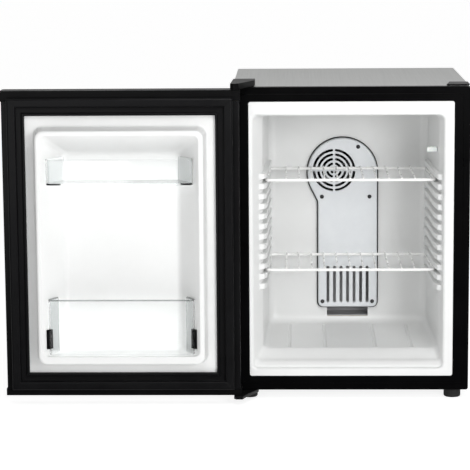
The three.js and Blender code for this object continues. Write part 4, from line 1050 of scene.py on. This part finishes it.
def clear_styrene(name, body, patch, edge):
    """Clear plastic that lets the light through to the liner, with painted shade: its colour darkens where it
    is seen edge on.
    """
    material = bpy.data.materials.new(name)
    material.use_nodes = True
    tree = material.node_tree
    shader = tree.nodes["Principled BSDF"]
    texture = placed(tree, grain_group, grain_size=0.006, grain_depth=0.00003, patch_size=0.04)
    body_tint = blend_colours(tree, texture["Patches"], body, patch)
    # Painted shade: the base colour turns towards the edge colour where the surface is seen edge on, in place
    # of the dark surroundings seen through the edges.
    edge_on = node(tree, "ShaderNodeLayerWeight", {"Blend": 0.5}).outputs["Facing"]
    tint_and_painted_edge_shade = blend_colours(tree, calc(tree, "POWER", edge_on, 2.0), body_tint, edge)
    haze = node(tree, "ShaderNodeMapRange", {"Value": texture["Patches"], "To Min": 0.02, "To Max": 0.07})
    ripple = node(tree, "ShaderNodeBump", {"Height": texture["Height"], "Strength": 1.0, "Distance": 1.0})
    tree.links.new(tint_and_painted_edge_shade, shader.inputs["Base Color"])
    tree.links.new(haze.outputs[0], shader.inputs["Roughness"])
    tree.links.new(ripple.outputs[0], shader.inputs["Normal"])
    shader.inputs["Transmission Weight"].default_value = 1.0
    shader.inputs["IOR"].default_value = 1.5
    let_light_by = node(tree, "ShaderNodeBsdfTransparent", {"Color": (0.95, 0.96, 0.96, 1)})
    ray = node(tree, "ShaderNodeLightPath").outputs
    late = calc(tree, "GREATER_THAN", ray["Transmission Depth"], 3.5)
    passed = node(tree, "ShaderNodeMixShader", {0: calc(tree, "MAXIMUM", ray["Is Shadow Ray"], late)})
    tree.links.new(shader.outputs[0], passed.inputs[1])
    tree.links.new(let_light_by.outputs[0], passed.inputs[2])
    tree.links.new(passed.outputs[0], tree.nodes["Material Output"].inputs["Surface"])
    return material


# The last colour given is the painted edge shade.
clear_plastic = clear_styrene("clear styrene", (0.95, 0.955, 0.955, 1), (0.97, 0.973, 0.973, 1),
                              (0.25, 0.26, 0.26, 1))
# The guard's rim bead is tinted dark grey: painted shade for the dark line that its rounded clear rim shows.
bead_plastic_painted_dark = clear_styrene("clear styrene bead with painted dark line", (0.42, 0.43, 0.43, 1), (0.47, 0.48, 0.48, 1),
                             (0.05, 0.05, 0.05, 1))


tray_gap = 0.6


def pocket_half(out_by):
    """Half the pocket's width at a distance out from the door's inner plane, less a small gap."""
    slope = pocket_slope * (ring_rise * mm - out_by) / pocket_drop
    return (pocket_mouth - tray_gap) * mm - slope


def close_points_joined(piece):
    """Joins the points that a weld leaves almost on top of each other."""
    made = bmesh.new()
    made.from_mesh(piece.data)
    bmesh.ops.remove_doubles(made, verts=made.verts, dist=0.003 * mm)
    made.to_mesh(piece.data)
    made.free()


tray_wall = 2.2 * mm
tray_front = 32 * mm
tray_bend = 8 * mm
bead_radius = 1.5 * mm
for tray, cad_node, back in (("bottle_guard_panel", "bottle_guard", 2 * mm),
                             ("upper_tray", "door_upper_rack", -16 * mm)):
    low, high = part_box(cad_node)
    plan = [(-pocket_half(back), back), (-pocket_half(tray_front), tray_front),
            (pocket_half(tray_front), tray_front),
            (pocket_half(back), back)]
    line = filleted(plan, tray_bend, False, 10)
    wall = folded_sheet(tray, [Vector((p.x, -p.y)) for p in reversed(line)], -tray_wall, low.z,
                        high.z - 1 * mm, lambda p, run: (door_x + p.x, door_face_y + p.y, run))
    if tray == "upper_tray":
        floor_line = inset_line(line, 0.3 * mm)
        slab = through_rings(tray + "_floor", [[(door_x + p.x, door_face_y - p.y, z) for p in floor_line]
                                               for z in (low.z, low.z + 3 * mm)])
        weld = wall.modifiers.new("floor", "BOOLEAN")
        weld.operation = "UNION"
        weld.solver = "EXACT"
        weld.object = slab
        apply_modifiers(wall)
        bpy.data.objects.remove(slab)
    bead = [Vector((door_x + p.x, door_face_y - p.y, high.z - bead_radius))
            for p in inset_line(line, -tray_wall / 2)]
    rim_points, rim_faces = round_wire(bead, bead_radius, False, 12)
    rim = new_piece(tray + "_rim", rim_points, rim_faces)
    weld = wall.modifiers.new("rim", "BOOLEAN")
    weld.operation = "UNION"
    weld.solver = "EXACT"
    weld.object = rim
    apply_modifiers(wall)
    bpy.data.objects.remove(rim)
    close_points_joined(wall)
    fit(shade(wall, 40), "door", "clear_plastic", clear_plastic, cad_node)
    if tray == "bottle_guard_panel":
        # The rim's faces take the bead's painted dark line.
        wall.data.materials.append(bead_plastic_painted_dark)
        for face in wall.data.polygons:
            if face.center.z > high.z - 3.2 * mm:
                face.material_index = 1
for side in ("left", "right"):
    fit(softened(f"{side}_clip", f"guard_clip_{side}", 0.5 * mm, 2), "door", "black_plastic", black_plastic,
        f"guard_clip_{side}")


# ---- Floor, light and camera ----
# A plain pale studio floor, a large soft key light from the front right, a weak fill from the
# left, a top light, and the camera.

floor_paint = bpy.data.materials.new("pale studio floor")
floor_paint.use_nodes = True
shader = floor_paint.node_tree.nodes["Principled BSDF"]
shader.inputs["Base Color"].default_value = (0.5, 0.5, 0.5, 1)
shader.inputs["Roughness"].default_value = 0.8
shader.inputs["Emission Color"].default_value = (1, 1, 1, 1)
shader.inputs["Emission Strength"].default_value = 0.8
floor = new_piece("studio_floor", [(-9, -6, 0), (9, -6, 0), (9, 22, 0), (-9, 22, 0)], [(0, 1, 2, 3)])
floor.data.materials.append(floor_paint)
floor.visible_glossy = False
floor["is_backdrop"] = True


def soft_light(name, place, target, size, power):
    lamp = bpy.data.lights.new(name, "AREA")
    lamp.shape = "SQUARE"
    lamp.size = size
    lamp.energy = power
    light = bpy.data.objects.new(name, lamp)
    bpy.context.scene.collection.objects.link(light)
    light.location = place
    light.rotation_euler = (Vector(target) - Vector(place)).to_track_quat("-Z", "Y").to_euler()
    return light


soft_light("key_light", (1.3, -2.7, 0.95), (0.1, 0, 0.3), 0.9, 41)
soft_light("fill_light", (-0.65, -1.8, 0.4), (-0.2, 0, 0.3), 0.7, 3)
soft_light("top_light", (0.1, -1.1, 1.35), (0.15, 0.1, 0.5), 0.7, 8)

world = bpy.data.worlds.new("studio")
bpy.context.scene.world = world
world.use_nodes = True
tree = world.node_tree
way = node(tree, "ShaderNodeTexCoord").outputs["Generated"]
depthwise = node(tree, "ShaderNodeSeparateXYZ", {0: way}).outputs["Y"]
room = node(tree, "ShaderNodeMapRange", {"Value": depthwise, "From Min": -0.4, "From Max": 0.8,
                                         "To Min": 0.06, "To Max": 0.7})
seen = calc(tree, "MAXIMUM", node(tree, "ShaderNodeLightPath").outputs["Is Camera Ray"], room.outputs[0])
background = tree.nodes["Background"]
tree.links.new(seen, background.inputs["Strength"])
background.inputs["Color"].default_value = (1, 1, 1, 1)

bpy.context.scene.view_settings.view_transform = "Standard"
camera_data = bpy.data.cameras.new("camera")
camera_data.lens = 159.8
camera_data.sensor_width = 36
camera_data.clip_end = 60
camera = bpy.data.objects.new("camera", camera_data)
bpy.context.scene.collection.objects.link(camera)
camera.matrix_world = (Matrix.Translation((0.0944, -3.6444, 0.8484)) @ Matrix.Rotation(0.0281, 4, "Z")
                       @ Matrix.Rotation(math.pi / 2 - 0.1599, 4, "X") @ Matrix.Rotation(-0.0073, 4, "Z"))
bpy.context.scene.camera = camera

low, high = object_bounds()
